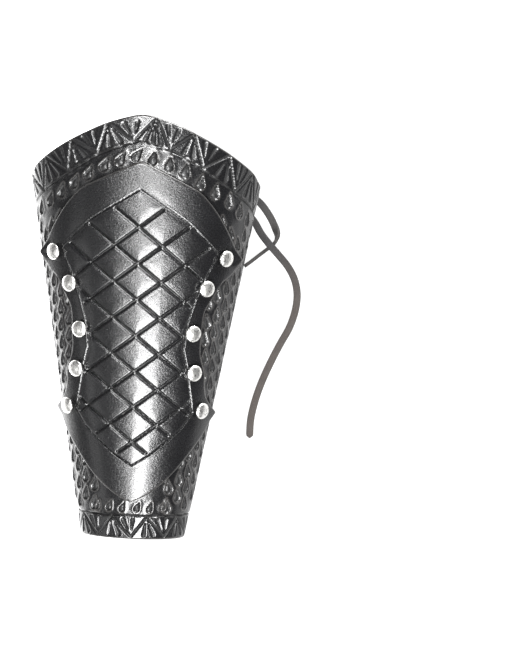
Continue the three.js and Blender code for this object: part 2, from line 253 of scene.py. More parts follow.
def ear_rise(across, along):
    """How far the plate's ears curl off the sleeve, past the seat of the plate."""
    def rise(half_width, level, lift):
        distance = np.hypot(np.abs(across) - half_width, along - level)
        return lift * smooth(1 - distance / EAR_REACH)

    lower = rise(LOWER_EAR_WIDTH, PLATE_LOWER_EAR, LOWER_EAR_LIFT)
    return lower + rise(UPPER_EAR_WIDTH, PLATE_UPPER_EAR, UPPER_EAR_LIFT)


def rivet_places():
    """Each rivet's name and its place on the flat hide."""
    rows = []
    for hand in (-1, 1):
        for index, (across, along) in enumerate(RIVET_ROWS):
            side = "left" if hand < 0 else "right"
            place = plate_place(np.array(hand * across), np.array(along))
            rows.append((f"rivet_{side}_{index + 1}", float(place[0]), float(place[1])))
    return rows


def hole_level(pair):
    """Level of a pair of lace holes, counted from the wrist."""
    return lerp(FIRST_HOLE, LAST_HOLE, pair / (HOLE_PAIRS - 1))


# Tooling marks, kept as a map of heights over the flat hide
MAP_STEP = 0.2
MAP_MARGIN = 2
CUT_REACH = 4.4
UNMARKED = 9.0


def lip_beside(distance, height, offset, width):
    """Leather pushed up beside a mark, highest at an offset from its outline."""
    return height * np.exp(-(((distance - offset) / width) ** 2))


def nearest_on_line(u, v, start, end):
    """For each place: the share along a line where the line is nearest, and how far off that is."""
    (u0, v0), (u1, v1) = start, end
    length = max((u1 - u0) ** 2 + (v1 - v0) ** 2, 1e-9)
    share = np.clip(((u - u0) * (u1 - u0) + (v - v0) * (v1 - v0)) / length, 0, 1)
    return share, np.hypot(u - lerp(u0, u1, share), v - lerp(v0, v1, share))


def wedge_distance(u, v, du, dv, start_radius, end_radius):
    """Distance to a shape that tapers from one round end to the other, negative inside it."""
    length = math.hypot(du, dv)
    along = (u * du + v * dv) / length
    side = np.abs(u * dv - v * du) / length
    slant = (start_radius - end_radius) / length
    upright = math.sqrt(max(1 - slant * slant, 1e-9))
    place = along * upright - side * slant
    body = side * upright + along * slant - start_radius
    beyond = np.hypot(side, along - length) - end_radius
    behind = np.hypot(side, along) - start_radius
    return np.where(place < 0, behind, np.where(place > upright * length, beyond, body))


class ToolingMap:
    """Heights cut and pressed into a flat hide, in millimetres, at every step of a fine grid."""

    def __init__(self, half_width, low, high):
        self.low = low
        self.half_width = half_width
        self.across = np.arange(-half_width, half_width + MAP_STEP, MAP_STEP)
        self.along = np.arange(low, high + MAP_STEP, MAP_STEP)
        self.height = np.zeros((len(self.along), len(self.across)))
        self.rims = np.zeros(self.height.shape)
        self.marked = np.zeros(self.height.shape, bool)

    def window(self, across, along, reach):
        """Slices of the map around one place or around the box of several."""
        i0 = max(int((np.min(across) - reach + self.half_width) / MAP_STEP), 0)
        i1 = max(int((np.max(across) + reach + self.half_width) / MAP_STEP) + 2, i0 + 1)
        j0 = max(int((np.min(along) - reach - self.low) / MAP_STEP), 0)
        j1 = max(int((np.max(along) + reach - self.low) / MAP_STEP) + 2, j0 + 1)
        cut = (slice(j0, j1), slice(i0, i1))
        u, v = np.meshgrid(self.across[i0:i1], self.along[j0:j1])
        return cut, u, v

    def cut_line(self, points, width, depth, lip=0.14, bevel=0.0):
        """Swivel knife cut along a line, with a raised lip and a beveled shoulder beside it."""
        distance = np.full(self.height.shape, UNMARKED)
        for start, end in zip(points, points[1:]):
            cut, u, v = self.window((start[0], end[0]), (start[1], end[1]), CUT_REACH + 0.1)
            if u.size > 0:
                distance[cut] = np.minimum(distance[cut], nearest_on_line(u, v, start, end)[1])
        self.add_groove(distance, width, depth, lip, bevel)

    def add_groove(self, distance, width, depth, lip, bevel):
        """Adds a cut, given each place's distance to it. The bevel sinks the leather beside it."""
        half = width / 2
        bevel_width = 1.7
        # The floor is flat for a hair's breadth, and fine faces reach past the lip
        groove = -depth * smooth(1.06 - distance / half)
        shoulder = lip_beside(distance, lip, half + 0.35, 0.38)
        slope = -bevel * np.exp(-distance / bevel_width)
        near = distance < CUT_REACH
        self.height[near] += (groove + shoulder + slope)[near]
        self.rims[near] += shoulder[near]
        self.marked |= distance < half + 0.9

    def add_mark(self, cut, distance, floor, lip, plain_within=math.inf):
        """Adds a pressed mark. Its floor needs no fine faces deeper inside than plain_within."""
        self.height[cut] += np.where(distance < 0, floor, 0) + lip
        self.rims[cut] += lip
        self.marked[cut] |= (distance > -plain_within) & (distance < 0.7)

    def press_wedge(self, start, end, wide, narrow, depth):
        """Gouge mark, wide at its start and tapering to its end."""
        (u0, v0), (u1, v1) = start, end
        cut, u, v = self.window((u0, u1), (v0, v1), wide + 1.5)
        if u.size == 0:
            return
        distance = wedge_distance(u - u0, v - v0, u1 - u0, v1 - v0, wide / 2, narrow / 2)
        radius = lerp(wide, narrow, nearest_on_line(u, v, start, end)[0]) / 2
        groove = -depth * np.sqrt(2 * radius / wide) * np.clip(-distance / radius, 0, 1)
        self.add_mark(cut, distance, groove, lip_beside(distance, 0.1, 0.35, 0.35))

    def press_drop(self, across, along, lean, size, depth):
        """Drop stamp: a sunken, slightly domed floor inside a raised rim, its point towards the elbow."""
        reach, round_end, point = 5.7 * size, 2.5 * size, 0.25
        du, dv = reach * math.sin(lean), reach * math.cos(lean)
        across, along = across - du / 3, along - dv / 3
        cut, u, v = self.window((across, across + du), (along, along + dv), CUT_REACH + 0.1)
        if u.size == 0:
            return
        distance = wedge_distance(u - across, v - along, du, dv, round_end, point)
        # The floor sinks steeply inside the outline, then swells again to the middle
        sunk = -depth * smooth(-distance / 0.85)
        dome = 0.62 * depth * smooth((-distance - 0.55) / 1.3)
        self.add_mark(cut, distance, sunk + dome, lip_beside(distance, 0.3, 0.45, 0.45), plain_within=1.5)

    def read(self, values, across, along):
        """Heights or rims between the map's own points."""
        i = np.clip((across + self.half_width) / MAP_STEP, 0, len(self.across) - 1.001)
        j = np.clip((along - self.low) / MAP_STEP, 0, len(self.along) - 1.001)
        i0, j0 = i.astype(int), j.astype(int)
        fi, fj = i - i0, j - j0
        low = lerp(values[j0, i0], values[j0, i0 + 1], fi)
        high = lerp(values[j0 + 1, i0], values[j0 + 1, i0 + 1], fi)
        return lerp(low, high, fj)

    def is_near(self, across, along, reach):
        """True where a mark lies within reach of a place: a square of the map holds a marked point."""
        rows, columns = self.marked.shape
        k = max(int(round(reach / MAP_STEP)), 1)
        total = np.zeros((rows + 1, columns + 1))
        total[1:, 1:] = np.cumsum(np.cumsum(self.marked, 0), 1)
        i = np.clip(((across + self.half_width) / MAP_STEP).astype(int), 0, columns - 1)
        j = np.clip(((along - self.low) / MAP_STEP).astype(int), 0, rows - 1)
        i0, i1 = np.maximum(i - k, 0), np.minimum(i + k + 1, columns)
        j0, j1 = np.maximum(j - k, 0), np.minimum(j + k + 1, rows)
        return total[j1, i1] - total[j0, i1] - total[j1, i0] + total[j0, i0] > 0


def pattern_outline(place, count):
    """Outline of a pattern's flat hide, anticlockwise from its lower left corner."""
    sides = np.linspace(-1, 1, count)
    ends = (sides + 1) / 2
    edges = (
        place(sides, 0 * sides),
        place(0 * sides + 1, ends),
        place(sides[::-1], 0 * sides + 1),
        place(0 * sides - 1, ends[::-1]),
    )
    return np.concatenate([np.stack(edge, -1) for edge in edges])


def inside_outline(u, v, outline):
    """True for the places inside a closed outline."""
    inside = np.zeros(np.shape(u), bool)
    for (u0, v0), (u1, v1) in zip(outline, outline[1:] + outline[:1]):
        if v0 == v1:
            continue
        crosses = (v0 > v) != (v1 > v)
        inside ^= crosses & (u < u0 + (v - v0) * (u1 - u0) / (v1 - v0))
    return inside


def outline_distance(u, v, outline):
    """Distance of places to a closed outline, from either side."""
    distance = np.full(np.shape(u), np.inf)
    for start, end in zip(outline, outline[1:] + outline[:1]):
        distance = np.minimum(distance, nearest_on_line(u, v, start, end)[1])
    return distance


# Pattern of the plate: a carved frame around a lattice of pillowed diamonds
LATTICE_FRAME = (
    (0, 191), (13.3, 182.6), (26, 174.6), (38.3, 164), (43.8, 159.2), (36.2, 144.8), (31.2, 133.4),
    (27.3, 120.8), (25.6, 106), (28, 97), (30, 85), (32.8, 72), (26, 63), (19.5, 57), (9, 48), (0, 42),
)
DIAMOND_HALF_WIDTH = 12.35
DIAMOND_HALF_HEIGHT = 9.68
DIAMOND_FIRST = 55.2
DIAMOND_LAST_LINE = 6
# Widths of a lattice cut's steep upper wall and beveled lower wall, against a plain cut's
KNIFE_WALL = 0.85
BEVELED_WALL = 1.75
# The lattice's cuts run out over this width before they meet the frame
FRAME_CLEARANCE = 1.9
PILLOW_WIDTH = 2.2
# The ground outside the frame is set down, most beside the frame's cut
GROUND_DEPTH = 0.35
GROUND_WIDTH = 2.4
# Dimple that each cap presses into the plate
DIMPLE_DEPTH = 0.2
DIMPLE_RADIUS = 5.6
DIMPLE_REACH = 9


def tool_plate(cut_width, cut_depth, pillow):
    """Carves the plate: the frame, the lattice inside it, its pillowed diamonds and the rivets' dimples."""
    tooling = ToolingMap(UPPER_EAR_WIDTH + 3, PLATE_TIP - MAP_MARGIN, PLATE_APEX + MAP_MARGIN)
    right = [(float(u), float(v)) for u, v in LATTICE_FRAME]
    outline = right + [(-u, v) for u, v in reversed(right[1:-1])]
    u, v = np.meshgrid(tooling.across, tooling.along)
    edge = outline_distance(u, v, outline)
    inside = inside_outline(u, v, outline)
    one = (v - DIAMOND_FIRST) / DIAMOND_HALF_HEIGHT
    other = u / DIAMOND_HALF_WIDTH
    spread = 1 / math.hypot(1 / DIAMOND_HALF_WIDTH, 1 / DIAMOND_HALF_HEIGHT)

    def from_cut(lines):
        """Signed distance to the nearest of a set of parallel cuts."""
        return (lines - 2 * np.minimum(np.round(lines / 2), DIAMOND_LAST_LINE)) * spread

    def beveled(signed):
        """Distance to a cut whose upper wall is steep and whose lower wall the beveler has laid back."""
        return np.abs(signed) / np.where(signed > 0, KNIFE_WALL, BEVELED_WALL)

    rising, falling = from_cut(one - other), from_cut(one + other)
    lattice = np.minimum(beveled(rising), beveled(falling))
    lattice = np.where(inside, lattice + np.clip(FRAME_CLEARANCE - edge, 0, None) * 0.8, UNMARKED)
    tooling.add_groove(lattice, cut_width, cut_depth, lip=0.1, bevel=0.0)
    within = np.where(inside, np.minimum(np.minimum(np.abs(rising), np.abs(falling)), edge), 0)
    tooling.height += pillow * (1 - np.exp(-((within / PILLOW_WIDTH) ** 1.5)))
    tooling.height -= GROUND_DEPTH * np.where(inside, 0, np.exp(-edge / GROUND_WIDTH))
    tooling.add_groove(edge, cut_width * 0.65, cut_depth * 0.6, lip=0.12, bevel=0.0)
    for _, across, along in rivet_places():
        cut, u, v = tooling.window(across, along, DIMPLE_REACH)
        distance = np.hypot(u - across, v - along)
        tooling.height[cut] -= DIMPLE_DEPTH * np.exp(-((distance / DIMPLE_RADIUS) ** 4))
    return tooling


# Pattern of the sleeve: borders, bands of triangles and rows of drop stamps
BAND_DEPTHS = ((0, 14), (15, 15.4), (25, 15.8), (35, 17), (46, 18), (64, 18.4), (110, 18), (170, 17))
LOWER_BORDER = 14.0
BORDER_WIDTH = 1.1
BORDER_BEVEL = 0.15
# Triangles of the elbow band, left to right: each one's tip and the two ends of its open side
ELBOW_TRIANGLES = (
    (-42, -59, -40.2), (-24, -40.2, -19), (-4.5, -18.4, 7.1),
    (15, 7.3, 27.8), (33.5, 27.8, 49.5), (54.5, 49.5, 67.5),
)
ELBOW_PITCH = 19.0
WRIST_PITCH = 19.5
# How far the bands' open sides and their tips keep from the edge or border there
ELBOW_BAND_MARGIN = 0.9
WRIST_BAND_MARGIN = 1.2
TIP_MARGIN = 0.9
# Every stamp keeps this far from the back edges, and may reach this far under the plate
STAMP_EDGE_MARGIN = 17
STAMP_UNDER_PLATE = 2.2


def border_line(across):
    """Level of the border under the elbow band."""
    return elbow_line(across) - read_table(BAND_DEPTHS, np.abs(across))


def tool_triangle_band(tooling, top, bottom, triangles, limit):
    """Triangles that hang from a band's top line, with gouge marks in them and between them."""
    def on_top(u):
        return (u, float(top(np.array(u))))

    def on_bottom(u):
        return (u, float(bottom(np.array(u))) + TIP_MARGIN)

    def part(a, b, t):
        return (lerp(a[0], b[0], t), lerp(a[1], b[1], t))

    def gouge(start, end, first, last, wide):
        tooling.press_wedge(part(start, end, first), part(start, end, last), wide, narrow=1.1, depth=0.85)

    # Two gouges down each triangle, and two up between it and the next, but three under the apex
    triangles = [row for row in triangles if abs(row[0]) < limit]
    for index, (tip, left, right) in enumerate(triangles):
        start, end, low = on_top(left), on_top(right), on_bottom(tip)
        tooling.cut_line([start, low, end], width=1.7, depth=0.8, lip=0.06)
        over_front, under_apex = abs(tip) < 50, -9.5 < tip < 0.5
        for share in (0.3, 0.62) if over_front else (0.4, 0.7):
            gouge(part(start, end, share), low, 0.1, 0.62, wide=2.7)
        if index + 1 == len(triangles):
            continue
        after = on_bottom(triangles[index + 1][0])
        for share in (0.26, 0.52, 0.78) if under_apex else (0.36, 0.68):
            gouge(part(low, after, share), end, 0.12, 0.72, wide=2.8)


def row_below_border():
    """Large drops under the elbow band, which lean more to the left of the crown line."""
    first, pitch, drop = -2, 8.75, 6.8
    rows = []
    for k in range(-13, 15):
        u = first + pitch * k
        lean = (38 if u < 3 else 12) * (1 - min(abs(u) / 95, 1) * 0.8)
        rows.append((u, float(border_line(np.array(u))) - drop, math.radians(lean), 1.0))
    return rows


def flank_columns(side):
    """Drops in columns beside the plate, every other column half a step higher."""
    first, pitch = 21, 6.5
    lowest, step = LOWER_BORDER + 6.6, 9.7
    rows = []
    for column in range(22):
        u = side * (first + pitch * column)
        highest = float(border_line(np.array(u))) - 15
        for k in range(21):
            v = lowest + step * k + step / 2 * (column % 2)
            if v <= highest:
                rows.append((u, v, math.radians(-side * 5), 0.96))
    return rows


def wrist_drops(side):
    """Small drops under the plate's lower tip."""
    first, pitch = 4.2, 7.3
    return [(side * (first + pitch * k), LOWER_BORDER + 5, math.radians(24), 0.72) for k in range(3)]


def stamp_rows():
    """Middles of the drop stamps, how far each leans and its size, as laid out on the real guard."""
    plate = [tuple(map(float, place)) for place in pattern_outline(plate_place, 41)]
    rng = np.random.default_rng(7)
    rows = row_below_border()
    for side in (-1, 1):
        rows += flank_columns(side) + wrist_drops(side)
    kept = []
    for u, v, lean, size in rows:
        # Placed by eye and by hand, so none is quite in line
        u += rng.normal(0, 0.3)
        v += rng.normal(0, 0.4)
        lean += rng.normal(0, math.radians(4))
        if abs(u) > float(half_girth(v)) - STAMP_EDGE_MARGIN:
            continue
        place = (np.array(u), np.array(v))
        if inside_outline(*place, plate) and outline_distance(*place, plate) > STAMP_UNDER_PLATE:
            continue
        kept.append((u, v, lean, size))
    return kept


def tool_sleeve(cut_depth, stamp_depth):
    """Tools the sleeve: both borders, a band of triangles at each end and the drop stamps between them."""
    widest = float(half_girth(SLEEVE_LENGTH))
    reach = widest + 4
    tooling = ToolingMap(reach, -MAP_MARGIN, SLEEVE_LENGTH + MAP_MARGIN)
    across = np.linspace(-reach, reach, 181)
    wrist_half = float(half_girth(LOWER_BORDER))
    lower = [(u, LOWER_BORDER) for u in np.linspace(-wrist_half, wrist_half, 61)]
    for border in (list(zip(across, border_line(across))), lower):
        tooling.cut_line(border, BORDER_WIDTH, 0.8 * cut_depth, bevel=BORDER_BEVEL)
    # Past the triangles that the front shows, the end ones repeat on to the back
    triangles = [list(row) for row in ELBOW_TRIANGLES]
    for hand, row in ((-1, ELBOW_TRIANGLES[0]), (1, ELBOW_TRIANGLES[-1])):
        triangles += [[place + hand * ELBOW_PITCH * k for place in row] for k in range(1, 6)]
    tool_triangle_band(
        tooling, lambda u: elbow_line(u) - ELBOW_BAND_MARGIN, border_line, sorted(triangles), widest - 14)
    triangles = [
        (0.8 + WRIST_PITCH * k, WRIST_PITCH * (k - 0.52), WRIST_PITCH * (k + 0.46)) for k in range(-5, 6)
    ]
    tool_triangle_band(
        tooling, lambda u: LOWER_BORDER - WRIST_BAND_MARGIN, lambda u: WRIST_BAND_MARGIN, triangles,
        float(half_girth(0.0)) - 12)
    for u, v, lean, size in stamp_rows():
        tooling.press_drop(u, v, lean, size, stamp_depth)
    return tooling


# Mesh work
# A point this near a face of the flat blank, in millimetres, lies on it
ON_FACE = 0.01
# Distances to the edge are measured within a reach, and read as far off past it
EDGE_REACH = 3
FAR_FROM_EDGE = 20
# Tool marks run out over this width at the edge
MARK_RUNOUT = 0.8


def deselect_all():
    if bpy.context.mode != "OBJECT":
        bpy.ops.object.mode_set(mode="OBJECT")
    bpy.ops.object.select_all(action="DESELECT")


def make_active(piece):
    deselect_all()
    piece.select_set(True)
    bpy.context.view_layer.objects.active = piece


def read_points(piece):
    points = np.empty(len(piece.data.vertices) * 3)
    piece.data.vertices.foreach_get("co", points)
    return points.reshape(-1, 3)


def write_points(piece, points):
    piece.data.vertices.foreach_set("co", np.ascontiguousarray(points, dtype=np.float32).ravel())
    piece.data.update()


def select_faces(piece, chosen):
    """Selects faces of a piece in edit mode's face select."""
    make_active(piece)
    mesh = piece.data
    mesh.vertices.foreach_set("select", np.zeros(len(mesh.vertices), bool))
    mesh.edges.foreach_set("select", np.zeros(len(mesh.edges), bool))
    mesh.polygons.foreach_set("select", chosen)
    bpy.ops.object.mode_set(mode="EDIT")
    bpy.ops.mesh.select_mode(type="FACE")


def face_middles(piece):
    """Middles and normals of a piece's faces."""
    middles = np.empty(len(piece.data.polygons) * 3)
    piece.data.polygons.foreach_get("center", middles)
    normals = np.empty(len(piece.data.polygons) * 3)
    piece.data.polygons.foreach_get("normal", normals)
    return middles.reshape(-1, 3), normals.reshape(-1, 3)


def edge_spacing(count, fine):
    """Places from -1 to 1, evenly spaced but for close rows near both edges."""
    even = np.linspace(-1, 1, count - 2 * len(fine) + 2)[1:-1]
    inner = 1 - fine[-1]
    return np.concatenate([-1 + np.array(fine), even * inner, 1 - np.array(fine[::-1])])


def cut_blank(name, place, columns, rows, thickness):
    """Cuts a flat blank of hide: its outline is the pattern's, and it has the leather's thickness."""
    deselect_all()
    bpy.ops.mesh.primitive_grid_add(
        x_subdivisions=len(columns) - 1, y_subdivisions=len(rows) - 1, size=2, location=(0, 0, 0)
    )
    blank = bpy.context.active_object
    blank.name = blank.data.name = name
    points = read_points(blank)
    i = np.rint((points[:, 0] + 1) / 2 * (len(columns) - 1)).astype(int)
    j = np.rint((points[:, 1] + 1) / 2 * (len(rows) - 1)).astype(int)
    across, along = place(columns[i], (rows[j] + 1) / 2)
    write_points(blank, np.stack([across, along, 0 * across], -1) * MM)
    wall = blank.modifiers.new("Thickness", "SOLIDIFY")
    wall.thickness = thickness * MM
    wall.offset = -1
    bpy.ops.object.modifier_apply(modifier=wall.name)
    return blank


def punch_holes(blank, holes, thickness):
    """Punches round holes, each given by its place on the flat hide and its diameter."""
    punches = []
    for across, along, diameter in holes:
        deselect_all()
        bpy.ops.mesh.primitive_cylinder_add(
            vertices=20, radius=diameter / 2 * MM, depth=4 * thickness * MM,
            location=(across * MM, along * MM, -thickness / 2 * MM),
        )
        punches.append(bpy.context.active_object)
    for punch in punches:
        punch.select_set(True)
    bpy.context.view_layer.objects.active = punches[0]
    bpy.ops.object.join()
    tool = bpy.context.active_object
    make_active(blank)
    cut = blank.modifiers.new("Punch", "BOOLEAN")
    cut.operation = "DIFFERENCE"
    cut.solver = "EXACT"
    cut.object = tool
    bpy.ops.object.modifier_apply(modifier=cut.name)
    bpy.data.objects.remove(tool)


def refine_near_marks(blank, tooling, steps):
    """Divides the faces of the grain side near a tool mark, each step within a reach and a half width."""
    for reach, widest in steps:
        middles, normals = face_middles(blank)
        across, along, level = middles.T / MM
        grain_side = (normals[:, 2] > 0.9) & (level > -ON_FACE)
        chosen = grain_side & (np.abs(across) < widest) & tooling.is_near(across, along, reach)
        select_faces(blank, chosen)
        bpy.ops.mesh.subdivide(number_cuts=1, smoothness=0)
        bpy.ops.object.mode_set(mode="OBJECT")


def edge_distance(points, outline):
    """Distance of flat points to the pattern's outline, measured only within reach of it."""
    distance = np.full(len(points), np.inf)
    for start, end in zip(outline, np.roll(outline, -1, 0)):
        low, high = np.minimum(start, end) - EDGE_REACH, np.maximum(start, end) + EDGE_REACH
        near = np.flatnonzero(((points > low) & (points < high)).all(1))
        gap = nearest_on_line(*points[near].T, start, end)[1]
        distance[near] = np.minimum(distance[near], gap)
    return distance


def add_attribute(piece, name, values):
    """Keeps a number at each vertex for the piece's material to read."""
    layer = piece.data.attributes.new(name, "FLOAT", "POINT")
    layer.data.foreach_set("value", np.asarray(values, np.float32))


def write_uvs(mesh, name, places):
    """Makes the mesh's one UV map, which gives each corner the flat place of its vertex, in metres."""
    while mesh.uv_layers:
        mesh.uv_layers.remove(mesh.uv_layers[0])
    loops = np.empty(len(mesh.loops), np.int32)
    mesh.loops.foreach_get("vertex_index", loops)
    layer = mesh.uv_layers.new(name=name)
    layer.data.foreach_set("uv", places[loops].astype(np.float32).ravel())


def form_hide(blank, place, tooling, thickness, base_out, round_edge):
    """Tools the flat hide, rounds its edges, keeps its flat places as UVs and wraps it on the form."""
    points = read_points(blank) / MM
    across, along, level = points.T
    grain_side = level > -ON_FACE
    flesh_side = level < -thickness + ON_FACE
    edge = edge_distance(points[:, :2], pattern_outline(place, 161))
    mark = np.where(grain_side, tooling.read(tooling.height, across, along), 0)
    rims = np.where(grain_side, tooling.read(tooling.rims, across, along), 0)
    # The edge slicker rounds the grain side fully and the flesh side a little less
    inwards = np.clip(round_edge - edge, 0, round_edge)
    fall = round_edge - np.sqrt(np.clip(round_edge**2 - inwards**2, 0, None))
    level = level + mark * np.clip(edge / MARK_RUNOUT, 0, 1)
    level = np.where(grain_side, level - fall, np.where(flesh_side, level + 0.6 * fall, level))
    write_uvs(blank.data, "flat_hide", points[:, :2] * MM)
    add_attribute(blank, "tool_depth", mark)
    add_attribute(blank, "raised_rim", rims)
    add_attribute(blank, "edge_distance", np.minimum(edge, FAR_FROM_EDGE))
    add_attribute(blank, "grain_side", np.where(grain_side, 1.0, 0.0))
    write_points(blank, wall_point(across, along, base_out(across, along) + level) * MM)


def shade_smooth(piece, degrees):
    """Shades a piece smooth, but for the edges that turn by more than an angle."""
    make_active(piece)
    bpy.ops.object.shade_smooth_by_angle(angle=math.radians(degrees))


# Lace
LACE_STEP = 1.2
LACE_CORNER = 0.42


def route_curve(points, step):
    """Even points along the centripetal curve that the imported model's lace follows, and its length."""
    p = np.array(points, float)
    p = np.vstack([2 * p[0] - p[1], p, 2 * p[-1] - p[-2]])
    fine = []
    for k in range(1, len(p) - 2):
        p0, p1, p2, p3 = p[k - 1:k + 3]
        d0, d1, d2 = (np.linalg.norm(b - a) ** 0.5 for a, b in ((p0, p1), (p1, p2), (p2, p3)))
        t1 = ((p1 - p0) / d0 - (p2 - p0) / (d0 + d1) + (p2 - p1) / d1) * d1
        t2 = ((p2 - p1) / d1 - (p3 - p1) / (d1 + d2) + (p3 - p2) / d2) * d1
        t = np.linspace(0, 1, 40, endpoint=False)[:, None]
        fine.append(p1 + t1 * t + (3 * (p2 - p1) - 2 * t1 - t2) * t**2 + (2 * (p1 - p2) + t1 + t2) * t**3)
    fine = np.vstack(fine + [p[-2]])
    lengths = np.concatenate([[0], np.cumsum(np.linalg.norm(np.diff(fine, axis=0), axis=1))])
    count = max(int(round(lengths[-1] / step)), 2)
    even = np.linspace(0, lengths[-1], count + 1)
    return np.stack([np.interp(even, lengths, fine[:, a]) for a in range(3)], -1), float(lengths[-1])


def lace_section(width, thickness, corner):
    """Rounded flat section, anticlockwise, as distances to the side and up."""
    corners = []
    for cx, cy, start in ((1, 1, 0), (-1, 1, 90), (-1, -1, 180), (1, -1, 270)):
        for turn in (0, 30, 60, 90):
            a = math.radians(start + turn)
            corners.append((
                cx * (width / 2 - corner) + corner * math.cos(a),
                cy * (thickness / 2 - corner) + corner * math.sin(a),
            ))
    return np.array(corners)


def sweep_lace(name, path, sides, width, thickness, round_end=False):
    """Lace along a path in metres: each point has the direction of the lace's width."""
    section = lace_section(width, thickness, LACE_CORNER * MM)
    count = len(section)
    ahead = np.gradient(path, axis=0)
    ahead /= np.linalg.norm(ahead, axis=1, keepdims=True)
    sides = sides - (sides * ahead).sum(1, keepdims=True) * ahead
    sides /= np.linalg.norm(sides, axis=1, keepdims=True)
    ups = np.cross(ahead, sides)
    run = np.concatenate([[0], np.cumsum(np.linalg.norm(np.diff(path, axis=0), axis=1))])
    scale = np.ones(len(path))
    if round_end:
        # Half round, but for a narrow flat at the very end, where the section can't close to a line
        into_round = 1 - (run[-1] - run) / (width / 2)
        scale = np.sqrt(1 - np.clip(into_round, 0, 0.985) ** 2)
    points = (
        path[:, None, :]
        + sides[:, None, :] * section[None, :, :1] * scale[:, None, None]
        + ups[:, None, :] * section[None, :, 1:]
    )
    faces = []
    for k in range(len(path) - 1):
        for i in range(count):
            j = (i + 1) % count
            faces.append((k * count + i, k * count + j, (k + 1) * count + j, (k + 1) * count + i))
    last = (len(path) - 1) * count
    faces.append(tuple(range(count))[::-1])
    faces.append(tuple(last + i for i in range(count)))
    mesh = bpy.data.meshes.new(name)
    mesh.from_pydata(points.reshape(-1, 3).tolist(), [], faces)
    piece = bpy.data.objects.new(name, mesh)
    bpy.context.collection.objects.link(piece)
    around = np.concatenate([[0], np.cumsum(np.linalg.norm(np.diff(section, axis=0), axis=1))])
    write_uvs(mesh, "flat_lace", np.stack([np.tile(around, len(path)), np.repeat(run, count)], -1))
    add_attribute(piece, "run", np.repeat(run / run[-1], count))
    make_active(piece)
    bpy.ops.object.mode_set(mode="EDIT")
    bpy.ops.mesh.select_all(action="SELECT")
    bpy.ops.mesh.normals_make_consistent(inside=False)
    bpy.ops.object.mode_set(mode="OBJECT")
    shade_smooth(piece, 38)
    return piece


def back_lace_path():
    """Both halves of the back lace, end to end, with the direction of its width, in millimetres."""
    half_lace = sizes().lace_thickness / MM / 2
    outside = half_lace
    inside = LEAST_LEVEL + sizes().sleeve_thickness / MM + CONTACT_GAP + half_lace
    radius = (inside - outside) / 2
    turn_steps, crossing_steps = 12, 24
    # A strand climbs only inside the gap, this far clear of the leather's edges
    edge_clearance, steepness = 1.6, 1.8

    def hole_x(pair):
        return float(form_at("gap", hole_level(pair))) + HOLE_MARGIN

    def hole_y(pair):
        return hole_level(pair) - SLEEVE_LENGTH / 2

    def turn_stations(pair, hand, onwards):
        """Through a hole to the outside, turning back towards the gap or onwards from it."""
        rows = []
        for i in range(turn_steps + 1):
            turn = i / turn_steps * math.pi
            beyond = onwards and turn > math.pi / 2
            centre = hole_x(pair) + (radius if beyond else -radius)
            swing = -radius * math.sin(turn) if beyond else radius * math.sin(turn)
            x = hand * (centre + swing)
            rows.append(((x, hole_y(pair), (inside + outside) / 2 + radius * math.cos(turn)), (0, 1, 0)))
        return rows

    def crossing_stations(pair, hand, early):
        """Across the gap to the next hole. An early climb takes the strand inside the other one."""
        start, end = hand * (hole_x(pair) - radius), -hand * (hole_x(pair + 1) - radius)
        middle = (hole_level(pair) + hole_level(pair + 1)) / 2
        open_half = float(form_at("gap", middle)) - edge_clearance

        def place(share):
            x = lerp(start, end, share)
            climb = min(max((open_half - hand * x) / (2 * open_half), 0), 1)
            risen = 1 - smooth((1 - climb) ** steepness) if early else smooth(climb**steepness)
            y = lerp(hole_y(pair), hole_y(pair + 1), smooth(share))
            return np.array([x, y, lerp(outside, inside, risen)])

        rows = []
        for i in range(1, crossing_steps):
            ahead = place((i + 0.5) / crossing_steps) - place((i - 0.5) / crossing_steps)
            side = np.array([-ahead[1], ahead[0], 0]) * np.sign(ahead[0])
            rows.append((tuple(place(i / crossing_steps)), tuple(side / np.linalg.norm(side))))
        return rows

    def strand(first_hand, early, onwards):
        """One half of the lace, from between the wrist holes to the elbow's."""
        rows = [((0, hole_y(0), inside), (0, 1, 0))] + turn_stations(0, first_hand, False)
        hand = first_hand
        for pair in range(HOLE_PAIRS - 1):
            rows += crossing_stations(pair, hand, early)
            hand = -hand
            rows += turn_stations(pair + 1, hand, pair == HOLE_PAIRS - 2 and onwards)
        (x, y, z), side = rows[-1]
        rows.append(((x + (hand if onwards else -hand), y, z), side))
        return rows

    rows = strand(1, True, False)[::-1] + strand(-1, False, True)[1:]
    return np.array([r[0] for r in rows], float), np.array([r[1] for r in rows], float)


# Materials
def linear(colour):
    """sRGB hex to linear RGBA."""
    parts = [int(colour[i:i + 2], 16) / 255 for i in (1, 3, 5)]
    return tuple(c / 12.92 if c <= 0.04045 else ((c + 0.055) / 1.055) ** 2.4 for c in parts) + (1.0,)


def hex_of(colour):
    """Hex text of a panel colour, which Blender keeps as linear numbers."""
    parts = [c * 12.92 if c <= 0.0031308 else 1.055 * c ** (1 / 2.4) - 0.055 for c in colour[:3]]
    return "#" + "".join(f"{round(max(0, min(1, c)) * 255):02x}" for c in parts)


def start_material(name):
    """New material with no nodes yet."""
    material = bpy.data.materials.new(name)
    material.use_nodes = True
    material.node_tree.nodes.clear()
    return material


